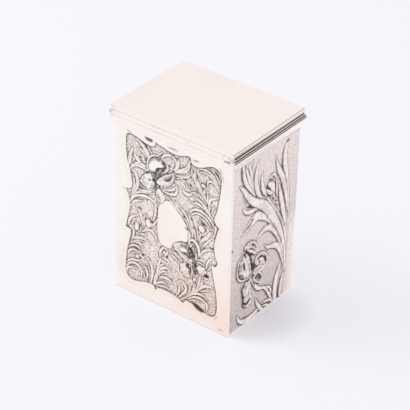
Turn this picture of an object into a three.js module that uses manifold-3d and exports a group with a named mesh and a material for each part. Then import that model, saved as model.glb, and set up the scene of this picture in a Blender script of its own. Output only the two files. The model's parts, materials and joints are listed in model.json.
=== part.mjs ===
// A silver case for two packs of playing cards, standing upright on its base.
// Four ornamented walls carry a flared moulding and a beaded rim, and a shallow
// lid is hinged along the top of the front.
// Millimetres. +Z is up, the front faces -Y and the origin is the centre of the underside.

import * as THREE from 'three';
import { mergeVertices } from 'three/addons/utils/BufferGeometryUtils.js';
import Module from 'manifold-3d';

const wasm = await Module();
wasm.setup();

// Walls and base
const bodyWidth = 68.4;            // across the front, over the walls
const bodyDepth = 52.2;            // front to back, over the walls
const wallHeight = 91.2;           // underside to the foot of the flare
const wallThickness = 1.0;
const baseThickness = 1.0;
const cornerRadius = 0.8;          // the upright outer corners
const solderGap = 0.03;            // left for solder between neighbouring sheets

// Flared moulding on top of the walls
const flareHeight = 4.8;
const flareReach = 1.75;           // how far its top stands out past the walls
const flareSteps = 8;

// Beaded rim of the body
const bodyRimHeight = 1.3;
const bodyBeadReach = 1.85;        // how far the bead stands out past the walls
const bodyBeadHeight = 1.05;
const bodyGrooveReach = 1.3;       // the floor of the groove under the bead

// Bezel, the upstand inside the rim that the lid closes over
const bezelThickness = 0.5;
const bezelHeight = 11;
const bezelRise = 1.7;             // how far it stands up past the rim

// Lid
const seamGap = 0.2;               // between the two rims when the lid is shut
const lidRimHeight = 3.7;
const lidBeadReach = 1.5;
const lidBeadHeight = 0.75;
const lidGrooveReach = 0.8;
const lidGrooveHeight = 0.2;
const lidShoulderReach = 1.0;      // the rounded shoulder between groove and plate
const lidShoulderBulge = 0.15;
const lidRimClearance = 0.25;      // between the lid's rim and the bezel
const plateThickness = 0.8;
const plateSideReach = 1.05;       // how far the plate stands out past the side walls
const plateBackReach = 0.45;
const plateEdge = 0.25;            // the rounding of the plate's edges
const plateCorner = 0.6;

// Hinge along the front
const frontReach = 1.3;            // where the plate and the side rims end, past the front wall
const hingeReach = 1.1;            // the hinge's axis, past the front wall
const hingeRise = 0.9;             // the hinge's axis, above the body's rim
const knuckleRadius = 1.15;
const pinRadius = 0.55;
const pinClearance = 0.06;
const endKnuckleLength = 2.9;
const knuckleGap = 0.1;            // between the ends of neighbouring knuckles
const railClearance = 0.15;        // between a knuckle and the rail it turns in
const webWidth = 1.3;              // the solder web that joins a knuckle to its rail
const railWall = 0.5;              // the lid rail's leaf behind the knuckles
const roundSides = 28;

// Ornament of the front wall: a sunk field with a plain raised reserve in it
const fieldDepth = 0.45;
const fieldSideBorder = 6.4;       // plain metal left at each side of the field
const fieldFootBorder = 8.0;       // below the field
const fieldTopBorder = 1.2;        // between the field and the foot of the flare
const reserveWidth = 18.6;
const reserveHeight = 26.2;
const reserveShift = 0.8;          // to the right of the field's middle
const reserveDrop = 0.6;           // below the field's middle
const cutOvershoot = 1.0;          // how far a cut runs on past the face it opens

// Places that follow from the sizes above
const halfWidth = bodyWidth / 2;
const halfDepth = bodyDepth / 2;
const flareTop = wallHeight + flareHeight;
const bodyRimTop = flareTop + bodyRimHeight;
const lidBottom = bodyRimTop + seamGap;
const plateBottom = lidBottom + lidRimHeight;
const bezelTop = bodyRimTop + bezelRise;
const lidInset = wallThickness - lidRimClearance;
const hingeY = -halfDepth - hingeReach;
const hingeZ = bodyRimTop + hingeRise;
const frontEnd = halfDepth + frontReach;
const knuckleSpace = knuckleRadius + railClearance;
const fieldWidth = bodyWidth - 2 * fieldSideBorder;
const fieldHeight = wallHeight - fieldFootBorder - fieldTopBorder;
const fieldMiddle = fieldFootBorder + fieldHeight / 2;

const polished = { color: 0xf1e9df, roughness: 0.24, metalness: 1 };
const chased = { color: 0xd9d0c8, roughness: 0.42, metalness: 1 };
const inside = { color: 0xe6dccf, roughness: 0.35, metalness: 1 };
const pinMetal = { color: 0xcfc6bb, roughness: 0.3, metalness: 1 };

function toManifold(geometry) {
  const bare = geometry.index ? geometry.toNonIndexed() : geometry.clone();
  bare.deleteAttribute('normal');
  bare.deleteAttribute('uv');
  const merged = mergeVertices(bare, 1e-5);
  return new wasm.Manifold(new wasm.Mesh({
    numProp: 3,
    vertProperties: new Float32Array(merged.attributes.position.array),
    triVerts: new Uint32Array(merged.index.array),
  }));
}

function toGeometry(manifold) {
  const mesh = manifold.getMesh();
  const geometry = new THREE.BufferGeometry();
  geometry.setAttribute('position', new THREE.BufferAttribute(mesh.vertProperties, 3));
  geometry.setIndex(new THREE.BufferAttribute(mesh.triVerts, 1));
  geometry.computeVertexNormals();
  return geometry;
}

function named(name, geometry, finish) {
  const mesh = new THREE.Mesh(geometry, new THREE.MeshStandardMaterial(finish));
  mesh.name = name;
  return mesh;
}

// The four sides. A piece for a side is drawn with u along it, v outwards from
// the wall's face and z up, and is then turned and moved to that side.
const sides = {
  back: { turn: 0, x: 0, y: halfDepth, halfLength: halfWidth },
  left: { turn: Math.PI / 2, x: -halfWidth, y: 0, halfLength: halfDepth },
  front: { turn: Math.PI, x: 0, y: -halfDepth, halfLength: halfWidth },
  right: { turn: -Math.PI / 2, x: halfWidth, y: 0, halfLength: halfDepth },
};

function placeOnSide(mesh, side) {
  mesh.rotation.z = side.turn;
  mesh.position.set(side.x, side.y, 0);
  return mesh;
}

// A moulding of one profile of (v, z) points from start.u to end.u. A mitred
// end grows with v, so that it meets the next side's moulding at the corner.
function mouldingStrip(profile, start, end) {
  const shape = new THREE.Shape(profile.map(([v, z]) => new THREE.Vector2(v, z)));
  const geometry = new THREE.ExtrudeGeometry(shape, { depth: 1, steps: 1, bevelEnabled: false });
  const position = geometry.attributes.position;
  for (let i = 0; i < position.count; i += 1) {
    const v = position.getX(i);
    const z = position.getY(i);
    const atEnd = position.getZ(i) > 0.5;
    const u = atEnd ? end.u + v * end.mitre : start.u - v * start.mitre;
    position.setXYZ(i, u, v, z);
  }
  geometry.computeVertexNormals();
  return geometry;
}

function mitredEnd(u) {
  return { u, mitre: 1 };
}

function squareEnd(u) {
  return { u, mitre: 0 };
}

// Half-round bead from zLow to zHigh, standing out from vInner to vOuter
function beadPoints(vInner, vOuter, zLow, zHigh) {
  const points = [];
  const steps = 6;
  for (let i = 0; i <= steps; i += 1) {
    const angle = -Math.PI / 2 + (Math.PI * i) / steps;
    points.push([
      vInner + (vOuter - vInner) * Math.cos(angle),
      (zLow + zHigh) / 2 + ((zHigh - zLow) / 2) * Math.sin(angle),
    ]);
  }
  return points;
}

function flareProfile() {
  const points = [[-wallThickness, flareTop], [-wallThickness, wallHeight]];
  for (let i = 0; i <= flareSteps; i += 1) {
    const rise = i / flareSteps;
    const reach = (flareReach * (1 - Math.cos(Math.PI * rise))) / 2;
    points.push([reach, wallHeight + flareHeight * rise]);
  }
  return points;
}

function bodyRimProfile() {
  const beadBottom = bodyRimTop - bodyBeadHeight;
  return [
    [-wallThickness, bodyRimTop],
    [-wallThickness, flareTop],
    [bodyGrooveReach, flareTop],
    ...beadPoints(bodyGrooveReach, bodyBeadReach, beadBottom, bodyRimTop),
  ];
}

function lidRimProfile() {
  const beadTop = lidBottom + lidBeadHeight;
  const shoulderBottom = beadTop + lidGrooveHeight;
  const shoulderHeight = plateBottom - shoulderBottom;
  const points = [
    [-lidInset, plateBottom],
    [-lidInset, lidBottom],
    ...beadPoints(lidGrooveReach, lidBeadReach, lidBottom, beadTop),
    [lidGrooveReach, shoulderBottom],
  ];
  const steps = 5;
  for (let i = 0; i <= steps; i += 1) {
    const rise = i / steps;
    const lean = lidGrooveReach + (lidShoulderReach - lidGrooveReach) * rise;
    const bulge = lidShoulderBulge * Math.sin(Math.PI * (0.1 + 0.9 * rise));
    points.push([lean + bulge, shoulderBottom + shoulderHeight * rise]);
  }
  return points;
}

// One wall, drawn in plan: mitred ends, with half of each rounded corner
function wallGeometry(halfLength) {
  const end = halfLength - solderGap;
  const shape = new THREE.Shape();
  shape.moveTo(-(end - wallThickness), -wallThickness);
  shape.lineTo(end - wallThickness, -wallThickness);
  shape.absarc(end - cornerRadius, -cornerRadius, cornerRadius, Math.PI / 4, Math.PI / 2, false);
  shape.absarc(-(end - cornerRadius), -cornerRadius, cornerRadius, Math.PI / 2, 0.75 * Math.PI, false);
  shape.closePath();
  return new THREE.ExtrudeGeometry(shape, {
    depth: wallHeight,
    bevelEnabled: false,
    curveSegments: 3,
  });
}

// The right half of the field's scalloped outline, from the middle of its top to
// the middle of its foot, as shares of the field's half width and height
const fieldHalfOutline = [
  [0.0, 0.976], [0.18, 0.982], [0.34, 1.0], [0.385, 0.975], [0.45, 0.954], [0.6, 0.963],
  [0.76, 0.985], [0.88, 0.998], [0.98, 0.975], [1.0, 0.93], [0.985, 0.84], [0.93, 0.72],
  [0.868, 0.645], [0.965, 0.618], [0.91, 0.53], [0.885, 0.48], [0.915, 0.42], [0.965, 0.385],
  [0.93, 0.352], [0.845, 0.335], [0.9, 0.24], [0.965, 0.14], [0.975, 0.05], [0.915, 0.008],
  [0.8, 0.0], [0.62, 0.013], [0.42, 0.03], [0.3, 0.025], [0.255, 0.002], [0.18, 0.02], [0.0, 0.03],
];

function fieldShape() {
  const right = fieldHalfOutline.map(([across, up]) => new THREE.Vector2(
    (across * fieldWidth) / 2,
    fieldFootBorder + up * fieldHeight,
  ));
  const left = right.slice(1, -1).reverse().map((point) => new THREE.Vector2(-point.x, point.y));
  return new THREE.Shape([...right, ...left]);
}

// The plain reserve: a rounded lozenge, fuller at the lower right
function reserveShape() {
  const outline = [
    [-0.1, 0.5], [0.2, 0.44], [0.36, 0.24], [0.5, -0.02], [0.46, -0.2], [0.3, -0.24],
    [0.06, -0.4], [-0.12, -0.5], [-0.36, -0.46], [-0.5, -0.2], [-0.5, 0.12], [-0.42, 0.36],
  ];
  const points = outline.map(([across, up]) => new THREE.Vector2(
    reserveShift + across * reserveWidth,
    fieldMiddle - reserveDrop + up * reserveHeight,
  ));
  return new THREE.Shape(new THREE.SplineCurve([...points, points[0]]).getPoints(36).slice(0, -1));
}

// A shape drawn in front view, made a solid from the sunk field's floor forwards
function frontCutter(shape, reach) {
  const geometry = new THREE.ExtrudeGeometry(shape, { depth: reach, bevelEnabled: false });
  geometry.rotateX(Math.PI / 2);
  geometry.translate(0, fieldDepth, 0);
  return toManifold(geometry);
}

function frontPanelGeometry() {
  const wall = wallGeometry(sides.front.halfLength);
  wall.rotateZ(Math.PI);
  const field = frontCutter(fieldShape(), fieldDepth + cutOvershoot);
  const reserve = frontCutter(reserveShape(), fieldDepth + 2 * cutOvershoot);
  return toGeometry(toManifold(wall).subtract(field.subtract(reserve)));
}

function boxBetween(low, high) {
  const geometry = new THREE.BoxGeometry(high[0] - low[0], high[1] - low[1], high[2] - low[2]);
  geometry.translate((low[0] + high[0]) / 2, (low[1] + high[1]) / 2, (low[2] + high[2]) / 2);
  return geometry;
}

function makeWalls() {
  const front = named('front_panel', frontPanelGeometry(), chased);
  front.position.set(sides.front.x, sides.front.y, 0);
  const others = ['back', 'left', 'right'].map((key) => placeOnSide(
    named(`${key}_panel`, wallGeometry(sides[key].halfLength), chased),
    sides[key],
  ));
  return [front, ...others];
}

function makeBase() {
  const x = halfWidth - wallThickness - solderGap;
  const y = halfDepth - wallThickness - solderGap;
  return named('base_plate', boxBetween([-x, -y, 0], [x, y, baseThickness]), inside);
}

function makeFlares() {
  return Object.entries(sides).map(([key, side]) => {
    const end = mitredEnd(side.halfLength - solderGap);
    const start = mitredEnd(-(side.halfLength - solderGap));
    return placeOnSide(named(`${key}_flare`, mouldingStrip(flareProfile(), start, end), polished), side);
  });
}

// The rims run round the back and both sides, and the side rims end square at
// the front, past the ends of the hinge.
function makeRims(prefix, profile) {
  const backEnd = halfWidth - solderGap;
  const sideEnd = halfDepth - solderGap;
  const strips = {
    back: mouldingStrip(profile, mitredEnd(-backEnd), mitredEnd(backEnd)),
    left: mouldingStrip(profile, squareEnd(-frontEnd), mitredEnd(sideEnd)),
    right: mouldingStrip(profile, mitredEnd(-sideEnd), squareEnd(frontEnd)),
  };
  return Object.entries(strips).map(([key, geometry]) => placeOnSide(
    named(`${prefix}_${key}`, geometry, polished),
    sides[key],
  ));
}

function makeBezel() {
  const outerX = halfWidth - wallThickness - solderGap;
  const outerY = halfDepth - wallThickness - solderGap;
  const innerX = outerX - bezelThickness;
  const innerY = outerY - bezelThickness;
  const crossX = innerX - solderGap;
  const bottom = bezelTop - bezelHeight;
  return [
    named('bezel_left', boxBetween([-outerX, -outerY, bottom], [-innerX, outerY, bezelTop]), inside),
    named('bezel_right', boxBetween([innerX, -outerY, bottom], [outerX, outerY, bezelTop]), inside),
    named('bezel_back', boxBetween([-crossX, innerY, bottom], [crossX, outerY, bezelTop]), inside),
    named('bezel_front', boxBetween([-crossX, -outerY, bottom], [crossX, -innerY, bezelTop]), inside),
  ];
}

// A rail of one (y, z) section, running across between the side rims
function railGeometry(section, halfLength) {
  const shape = new THREE.Shape(section.map(([y, z]) => new THREE.Vector2(y, z)));
  const geometry = new THREE.ExtrudeGeometry(shape, { depth: 2 * halfLength, bevelEnabled: false });
  geometry.applyMatrix4(new THREE.Matrix4().set(
    0, 0, 1, -halfLength,
    1, 0, 0, 0,
    0, 1, 0, 0,
    0, 0, 0, 1,
  ));
  return geometry;
}

const bodyRailTop = hingeZ - knuckleSpace;
const lidRailBottom = hingeZ + knuckleSpace;
const knuckleBack = hingeY + knuckleSpace;

function makeBodyHingeRail() {
  const inner = -halfDepth + wallThickness;
  const section = [
    [-halfDepth - flareReach, flareTop],
    [inner, flareTop],
    [inner, bodyRimTop],
    [knuckleBack, bodyRimTop],
    [knuckleBack, bodyRailTop],
    [-halfDepth - flareReach, bodyRailTop],
  ];
  const halfLength = halfWidth - wallThickness - solderGap;
  return named('body_hinge_rail', railGeometry(section, halfLength), polished);
}

function makeLidHingeRail() {
  const section = [
    [hingeY, lidRailBottom],
    [knuckleBack, lidRailBottom],
    [knuckleBack, lidBottom],
    [knuckleBack + railWall, lidBottom],
    [knuckleBack + railWall, plateBottom],
    [hingeY, plateBottom],
  ];
  const halfLength = halfWidth - lidInset - solderGap;
  return named('lid_hinge_rail', railGeometry(section, halfLength), polished);
}

function makeLidPlate() {
  const x = halfWidth + plateSideReach - plateEdge;
  const back = halfDepth + plateBackReach - plateEdge;
  const front = -frontEnd + plateEdge;
  const shape = new THREE.Shape();
  shape.absarc(x - plateCorner, back - plateCorner, plateCorner, 0, Math.PI / 2, false);
  shape.absarc(-x + plateCorner, back - plateCorner, plateCorner, Math.PI / 2, Math.PI, false);
  shape.absarc(-x + plateCorner, front + plateCorner, plateCorner, Math.PI, 1.5 * Math.PI, false);
  shape.absarc(x - plateCorner, front + plateCorner, plateCorner, 1.5 * Math.PI, 2 * Math.PI, false);
  const geometry = new THREE.ExtrudeGeometry(shape, {
    depth: plateThickness - 2 * plateEdge,
    bevelThickness: plateEdge,
    bevelSize: plateEdge,
    bevelSegments: 2,
    curveSegments: 4,
  });
  geometry.translate(0, 0, plateBottom + plateEdge);
  return named('lid_plate', geometry, polished);
}

function rodAlongX(radius, xLow, xHigh) {
  const geometry = new THREE.CylinderGeometry(radius, radius, xHigh - xLow, roundSides);
  geometry.rotateZ(Math.PI / 2);
  geometry.translate((xLow + xHigh) / 2, 0, 0);
  return geometry;
}

// A knuckle is a short tube with a web that joins it to its rail: downwards to
// the body's rail or upwards to the lid's.
function knuckleGeometry(xLow, xHigh, webSide) {
  const tube = toManifold(rodAlongX(knuckleRadius, xLow, xHigh));
  const webReach = webSide * knuckleSpace;
  const web = toManifold(boxBetween(
    [xLow, -webWidth / 2, Math.min(0, webReach)],
    [xHigh, webWidth / 2, Math.max(0, webReach)],
  ));
  const boreRadius = (pinRadius + pinClearance) / Math.cos(Math.PI / roundSides);
  const bore = toManifold(rodAlongX(boreRadius, xLow - cutOvershoot, xHigh + cutOvershoot));
  return toGeometry(tube.add(web).subtract(bore));
}

function makeHinge() {
  const end = halfWidth - wallThickness - knuckleGap;
  const inner = end - endKnuckleLength;
  const step = (2 * inner) / 3;
  const spans = [
    ['body_knuckle_left', -end, -inner, -1],
    ['lid_knuckle_left', -inner, -inner + step, 1],
    ['body_knuckle_middle', -inner + step, inner - step, -1],
    ['lid_knuckle_right', inner - step, inner, 1],
    ['body_knuckle_right', inner, end, -1],
  ];
  const knuckles = spans.map(([name, from, to, webSide]) => named(
    name,
    knuckleGeometry(from + knuckleGap / 2, to - knuckleGap / 2, webSide),
    polished,
  ));
  const pin = named('hinge_pin', rodAlongX(pinRadius, -end, end), pinMetal);
  const hinge = new THREE.Group();
  hinge.position.set(0, hingeY, hingeZ);
  hinge.add(...knuckles, pin);
  return hinge;
}

const cardCase = new THREE.Group();
cardCase.add(
  makeBase(),
  ...makeWalls(),
  ...makeFlares(),
  ...makeRims('body_rim', bodyRimProfile()),
  makeBodyHingeRail(),
  ...makeBezel(),
  ...makeRims('lid_rim', lidRimProfile()),
  makeLidHingeRail(),
  makeLidPlate(),
  makeHinge(),
);

export default cardCase;
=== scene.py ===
# %% [markdown]
# A silver card case stands on a pale floor. It holds two packs of playing cards: four
# ornamented walls, a flared moulding, a beaded rim, and a shallow lid that is hinged along
# the top of the front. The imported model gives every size, place and joint. This script
# gives each piece its finished surface and sets up the light and the camera.

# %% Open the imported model
import copy
import json
import math
import bmesh
import bpy
import numpy as np
from mathutils import Matrix, Vector


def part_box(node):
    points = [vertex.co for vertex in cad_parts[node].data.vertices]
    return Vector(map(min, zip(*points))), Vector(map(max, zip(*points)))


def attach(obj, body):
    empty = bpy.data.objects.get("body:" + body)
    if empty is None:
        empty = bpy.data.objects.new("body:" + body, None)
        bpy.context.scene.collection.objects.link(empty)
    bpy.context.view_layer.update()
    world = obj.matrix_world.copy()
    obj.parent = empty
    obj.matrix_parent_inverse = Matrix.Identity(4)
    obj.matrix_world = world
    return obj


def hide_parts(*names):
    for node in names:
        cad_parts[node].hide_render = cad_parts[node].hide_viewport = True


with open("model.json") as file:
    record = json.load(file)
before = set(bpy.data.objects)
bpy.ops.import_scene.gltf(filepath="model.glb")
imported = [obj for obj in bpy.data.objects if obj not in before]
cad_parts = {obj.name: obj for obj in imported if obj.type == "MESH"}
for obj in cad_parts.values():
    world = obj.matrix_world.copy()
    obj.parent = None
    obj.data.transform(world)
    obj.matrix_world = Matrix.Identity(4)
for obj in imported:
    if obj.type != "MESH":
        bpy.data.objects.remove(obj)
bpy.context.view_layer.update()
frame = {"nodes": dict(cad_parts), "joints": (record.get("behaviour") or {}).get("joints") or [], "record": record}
MM = 0.001

# %% [markdown]
# The solids already hold the main sizes, so they are read from the boxes of the nodes and
# never typed in again. From here on, lengths are millimetres, and a mesh is scaled to
# metres once, when its piece is finished.

# %% Read the sizes of the case


def low(node):
    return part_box(node)[0] / MM


def high(node):
    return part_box(node)[1] / MM


HALF_WIDTH = high("right_panel").x
HALF_DEPTH = high("back_panel").y
WALL_TOP = high("front_panel").z
WALL = high("right_panel").x - low("right_panel").x
FLARE_TOP = high("back_flare").z
FLARE_REACH = high("back_flare").y - HALF_DEPTH
RIM_TOP = high("body_rim_back").z
RIM_REACH = high("body_rim_back").y - HALF_DEPTH
LID_BOTTOM = low("lid_rim_back").z
PLATE_BOTTOM = low("lid_plate").z
PLATE_TOP = high("lid_plate").z
LID_REACH = high("lid_rim_back").y - HALF_DEPTH
LID_INSET = HALF_DEPTH - low("lid_rim_back").y
FRONT_END = -low("lid_rim_left").y
HINGE = Vector(frame["joints"][0]["pos_m"]) / MM
JOINT_GAP = 0.02
LYING = Matrix.Rotation(math.pi / 2, 3, "Y")
print("walls", HALF_WIDTH * 2, HALF_DEPTH * 2, WALL_TOP, "hinge", tuple(HINGE))

# %% [markdown]
# The camera stands where the photograph was taken from: a long lens, a little under a
# metre away, to the right of the front and above it. Its direction and its small roll
# were worked out from the edges of the lid and of the base.

# %% Place the camera
CAMERA_AZIMUTH = math.radians(36.88)
CAMERA_ELEVATION = math.radians(32.99)
CAMERA_ROLL = math.radians(1.37)
CAMERA_DISTANCE = 883.4
CAMERA_LENS = 164.0
CAMERA_RIGHT_OF_MIDDLE = -0.37
CAMERA_ABOVE_MIDDLE = -3.14

camera = bpy.data.objects.new("camera", bpy.data.cameras.new("camera"))
bpy.context.scene.collection.objects.link(camera)
bpy.context.scene.camera = camera
back = Vector((
    math.sin(CAMERA_AZIMUTH) * math.cos(CAMERA_ELEVATION),
    -math.cos(CAMERA_AZIMUTH) * math.cos(CAMERA_ELEVATION),
    math.sin(CAMERA_ELEVATION),
))
level = Vector((math.cos(CAMERA_AZIMUTH), math.sin(CAMERA_AZIMUTH), 0))
upright = back.cross(level)
right = level * math.cos(CAMERA_ROLL) + upright * math.sin(CAMERA_ROLL)
up = upright * math.cos(CAMERA_ROLL) - level * math.sin(CAMERA_ROLL)
place = (
    Vector((0, 0, PLATE_TOP / 2))
    + right * CAMERA_RIGHT_OF_MIDDLE
    + up * CAMERA_ABOVE_MIDDLE
    + back * CAMERA_DISTANCE
)
turn = Matrix((right, up, back)).transposed().to_4x4()
camera.matrix_world = Matrix.Translation(place * MM) @ turn
camera.data.sensor_width = 36
camera.data.lens = CAMERA_LENS
camera.data.clip_start = 0.01
camera.data.clip_end = 50
print("camera at, mm:", [round(x) for x in place])

# %% [markdown]
# A material is a graph of nodes. To write one as plain arithmetic, a small class wraps a
# socket: adding or multiplying two wires adds the Math node that does it, and `node` adds
# any other kind of node, with its settings and what goes into its sockets.

# %% A wire between shader nodes


class Wire:
    """One output socket of a node tree, on which + - * and ** add Math nodes."""

    def __init__(self, tree, socket=None):
        self.tree = tree
        self.socket = socket

    def node(self, kind, settings=None, sockets=None, output=0):
        made = self.tree.nodes.new(kind)
        for name, value in (settings or {}).items():
            setattr(made, name, value)
        for name, value in (sockets or {}).items():
            if isinstance(value, Wire):
                self.tree.links.new(value.socket, made.inputs[name])
            else:
                made.inputs[name].default_value = value
        return Wire(self.tree, made.outputs[output] if len(made.outputs) else None)

    def output(self, name):
        """Another output of the node that this wire leaves."""
        return Wire(self.tree, self.socket.node.outputs[name])

    def maths(self, operation, first, second, clamp=False):
        settings = {"operation": operation, "use_clamp": clamp}
        return self.node("ShaderNodeMath", settings, {0: first, 1: second})

    def __add__(self, other):
        return self.maths("ADD", self, other)

    def __radd__(self, other):
        return self.maths("ADD", other, self)

    def __sub__(self, other):
        return self.maths("SUBTRACT", self, other)

    def __rsub__(self, other):
        return self.maths("SUBTRACT", other, self)

    def __mul__(self, other):
        return self.maths("MULTIPLY", self, other)

    def __rmul__(self, other):
        return self.maths("MULTIPLY", other, self)

    def __pow__(self, other):
        return self.maths("POWER", self, other)

    def clamped(self):
        return self.maths("ADD", self, 0.0, clamp=True)

    def mix(self, first, second):
        """The colour between two others that this wire, from 0 to 1, picks."""
        sockets = {0: self, 6: first, 7: second}
        return self.node("ShaderNodeMix", {"data_type": "RGBA"}, sockets, output=2)


# %% [markdown]
# Each material starts empty. The set is lit one way and shown another, so its shaders ask
# which kind of ray has hit them.

# %% Start a material


def new_material(name):
    material = bpy.data.materials.new(name)
    material.use_nodes = True
    material.node_tree.nodes.clear()
    return material, Wire(material.node_tree)


def straight_and_mirrored(wire):
    """Whether a ray comes from the camera, and whether it was mirrored or went through glass."""
    path = wire.node("ShaderNodeLightPath")
    return path.output("Is Camera Ray"), path.output("Is Glossy Ray") + path.output("Is Transmission Ray")


# %% [markdown]
# The photograph is high-key: a white sweep, white all round, and one soft light from the
# front left that leaves a faint shadow on the right. A metal shows what it reflects, so
# the white has to be there for reflected rays too, at a strength of 1. For the rays that
# light the floor the world is dimmer, and a large soft lamp makes up the difference. The
# silver doesn't mirror the lamp, as nothing in the photograph is brighter than its white.

# %% Light the set
SWEEP_WHITE = (0.957, 0.945, 0.982, 1)
WORLD_FILL = 0.7
LAMP_POWER = 9.0
LAMP_SIZE = 0.9
LAMP_PLACE = Vector((-0.9, -0.5, 1.15))
LAMP_AIM = Vector((0, 0, 0.05))

world = bpy.data.worlds.new("white_room")
bpy.context.scene.world = world
world.use_nodes = True
world.node_tree.nodes.clear()
sky = Wire(world.node_tree)
camera_ray, mirrored = straight_and_mirrored(sky)
strength = (camera_ray + mirrored).clamped() * (1 - WORLD_FILL) + WORLD_FILL
sky_light = sky.node("ShaderNodeBackground", None, {"Color": SWEEP_WHITE, "Strength": strength})
sky.node("ShaderNodeOutputWorld", None, {"Surface": sky_light})

lamp = bpy.data.objects.new("soft_lamp", bpy.data.lights.new("soft_lamp", "AREA"))
bpy.context.scene.collection.objects.link(lamp)
lamp.data.shape = "DISK"
lamp.data.size = LAMP_SIZE
lamp.data.energy = LAMP_POWER
lamp.location = LAMP_PLACE
lamp.visible_glossy = False
lamp.rotation_euler = (LAMP_AIM - LAMP_PLACE).to_track_quat("-Z", "Y").to_euler()
print("lamp", round(LAMP_PLACE.length, 2), "m away, of", LAMP_POWER, "W")

# %% [markdown]
# The floor is matt white paper. A matt floor alone would look grey under this light, so
# for the camera it is mixed with its own white, and the rest of the mix keeps the shadow.
# Beside the right wall, where the case shades the floor most, that lift is taken back in
# an oval round the wall's foot. Mirrored rays see the white alone.

# %% Colour the floor
FLOOR_LIFT = 0.7
SHADE_REACH = 0.026
SHADE_LENGTH = 0.03
SHADE_DARK = 0.41

floor_material, floor = new_material("pale_floor")
camera_ray, mirrored = straight_and_mirrored(floor)
place = floor.node("ShaderNodeTexCoord", None, None, output="Object")
place = floor.node("ShaderNodeSeparateXYZ", None, {"Vector": place})
beside_right = (place.output("X") - HALF_WIDTH * MM) * (1 / SHADE_REACH)
along_right = place.output("Y") * (1 / SHADE_LENGTH)
shaded = (1 - beside_right ** 2 - along_right ** 2).clamped()
shown = (camera_ray * (FLOOR_LIFT - SHADE_DARK * shaded) + mirrored).clamped()
matt = floor.node("ShaderNodeBsdfDiffuse", None, {"Color": SWEEP_WHITE})
lifted = floor.node("ShaderNodeEmission", None, {"Color": SWEEP_WHITE, "Strength": 1.0})
surface = floor.node("ShaderNodeMixShader", None, {0: shown, 1: matt, 2: lifted})
floor.node("ShaderNodeOutputMaterial", None, {"Surface": surface})

# %% Lay the floor
FLOOR_RADIUS = 6.0

bm = bmesh.new()
bmesh.ops.create_circle(bm, cap_ends=True, segments=96, radius=FLOOR_RADIUS)
floor_mesh = bpy.data.meshes.new("floor")
bm.to_mesh(floor_mesh)
bm.free()
floor_mesh.materials.append(floor_material)
floor_object = bpy.data.objects.new("floor", floor_mesh)
bpy.context.scene.collection.objects.link(floor_object)
bpy.context.scene.view_settings.view_transform = "Standard"
print("floor", FLOOR_RADIUS * 2, "m across")

# %% [markdown]
# The silver. Polished silver is nearly a mirror, worn soft by handling: the colour is
# warm, and the gloss changes a little from place to place. Where the metal is low and hard
# to wipe, it has tarnished, first a thin reddish brown and then almost black. The same
# browns also paint the shade in the hollows and creases, and dark reflections. Each mesh
# carries how dark it is, from 0 to 1, as an attribute. The chased walls have two more: one
# for where the painted shade and reflections are blue-grey and not brown, and stipple, where
# a cell pattern makes the pits of the punch, each painted darker at its bottom, with patina
# and shade.

# %% Tarnish, painted shade and punch marks
PIT_SCALE = 1250.0
PIT_DARK = 1.8
PIT_MIDDLE = 0.42
PIT_DEPTH = 0.0002
CLOUD_SCALE = 40.0
CLOUD_CONTRAST = 1.5
SMEAR_SCALE = 420.0
SMEAR_GLOSS = 0.12
TARNISH_GLOSS = 0.25
THIN_BROWN = (0.33, 0.175, 0.13, 1)
DEEP_BROWN = (0.07, 0.05, 0.045, 1)
COOL_SHADE_COLOUR = (0.06, 0.07, 0.09, 1)


def noise(wire, place, scale, detail, roughness):
    sockets = {"Vector": place, "Scale": scale, "Detail": detail, "Roughness": roughness}
    return wire.node("ShaderNodeTexNoise", None, sockets)


def attribute(wire, name):
    return wire.node("ShaderNodeAttribute", {"attribute_name": name}, None, output="Fac")


# %% [markdown]
# Every silver is one shader with other numbers. Two tones of metal mix in soft clouds, the
# tarnish and the painted shade are laid over them, and whatever is darkened is duller too.
# On the chased walls a bump sinks the pits: they are too fine to be drawn in the mesh, and
# their bottoms are painted darker, with patina and shade.

# %% A worn silver


def silver(name, bright, dull, gloss, pits=0.0, across=0.0, upward=0.0, start=0.0):
    """A worn silver of two tones, with its roughness and how deep its punch marks are.

    The tones mix in clouds. across and upward say how much more of the dull one there is per
    metre along x and z, from start at the middle of the foot.
    """
    material, wire = new_material(name)
    place = wire.node("ShaderNodeTexCoord", None, None, output="Object")
    shares = wire.node("ShaderNodeSeparateXYZ", None, {"Vector": place})
    cloud = noise(wire, place, CLOUD_SCALE, 4.0, 0.55)
    smear = noise(wire, place, SMEAR_SCALE, 3.0, 0.6)
    drift = shares.output("X") * across + shares.output("Z") * upward + start
    metal = ((cloud - 0.5) * CLOUD_CONTRAST + 0.5 + drift).clamped().mix(bright, dull)
    patchy = attribute(wire, "tarnish_and_shade") * (0.8 + 0.4 * smear)
    dark_colour = patchy.clamped().mix(THIN_BROWN, DEEP_BROWN)
    sockets = {"Metallic": 1.0}
    if pits:
        stipple = attribute(wire, "stipple")
        cell = wire.node("ShaderNodeTexVoronoi", None, {"Vector": place, "Scale": PIT_SCALE})
        patchy = patchy + stipple * (PIT_MIDDLE - cell) * (PIT_DARK * pits)
        dark_colour = attribute(wire, "cool_shade").mix(dark_colour, COOL_SHADE_COLOUR)
        sockets["Normal"] = wire.node("ShaderNodeBump", None, {
            "Strength": pits, "Distance": PIT_DEPTH, "Height": cell * stipple,
        })
    patchy = patchy.clamped()
    sockets["Base Color"] = patchy.mix(metal, dark_colour)
    sockets["Roughness"] = gloss + (smear - 0.5) * SMEAR_GLOSS + patchy * TARNISH_GLOSS
    shader = wire.node("ShaderNodeBsdfPrincipled", None, sockets)
    wire.node("ShaderNodeOutputMaterial", None, {"Surface": shader})
    return material
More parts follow.
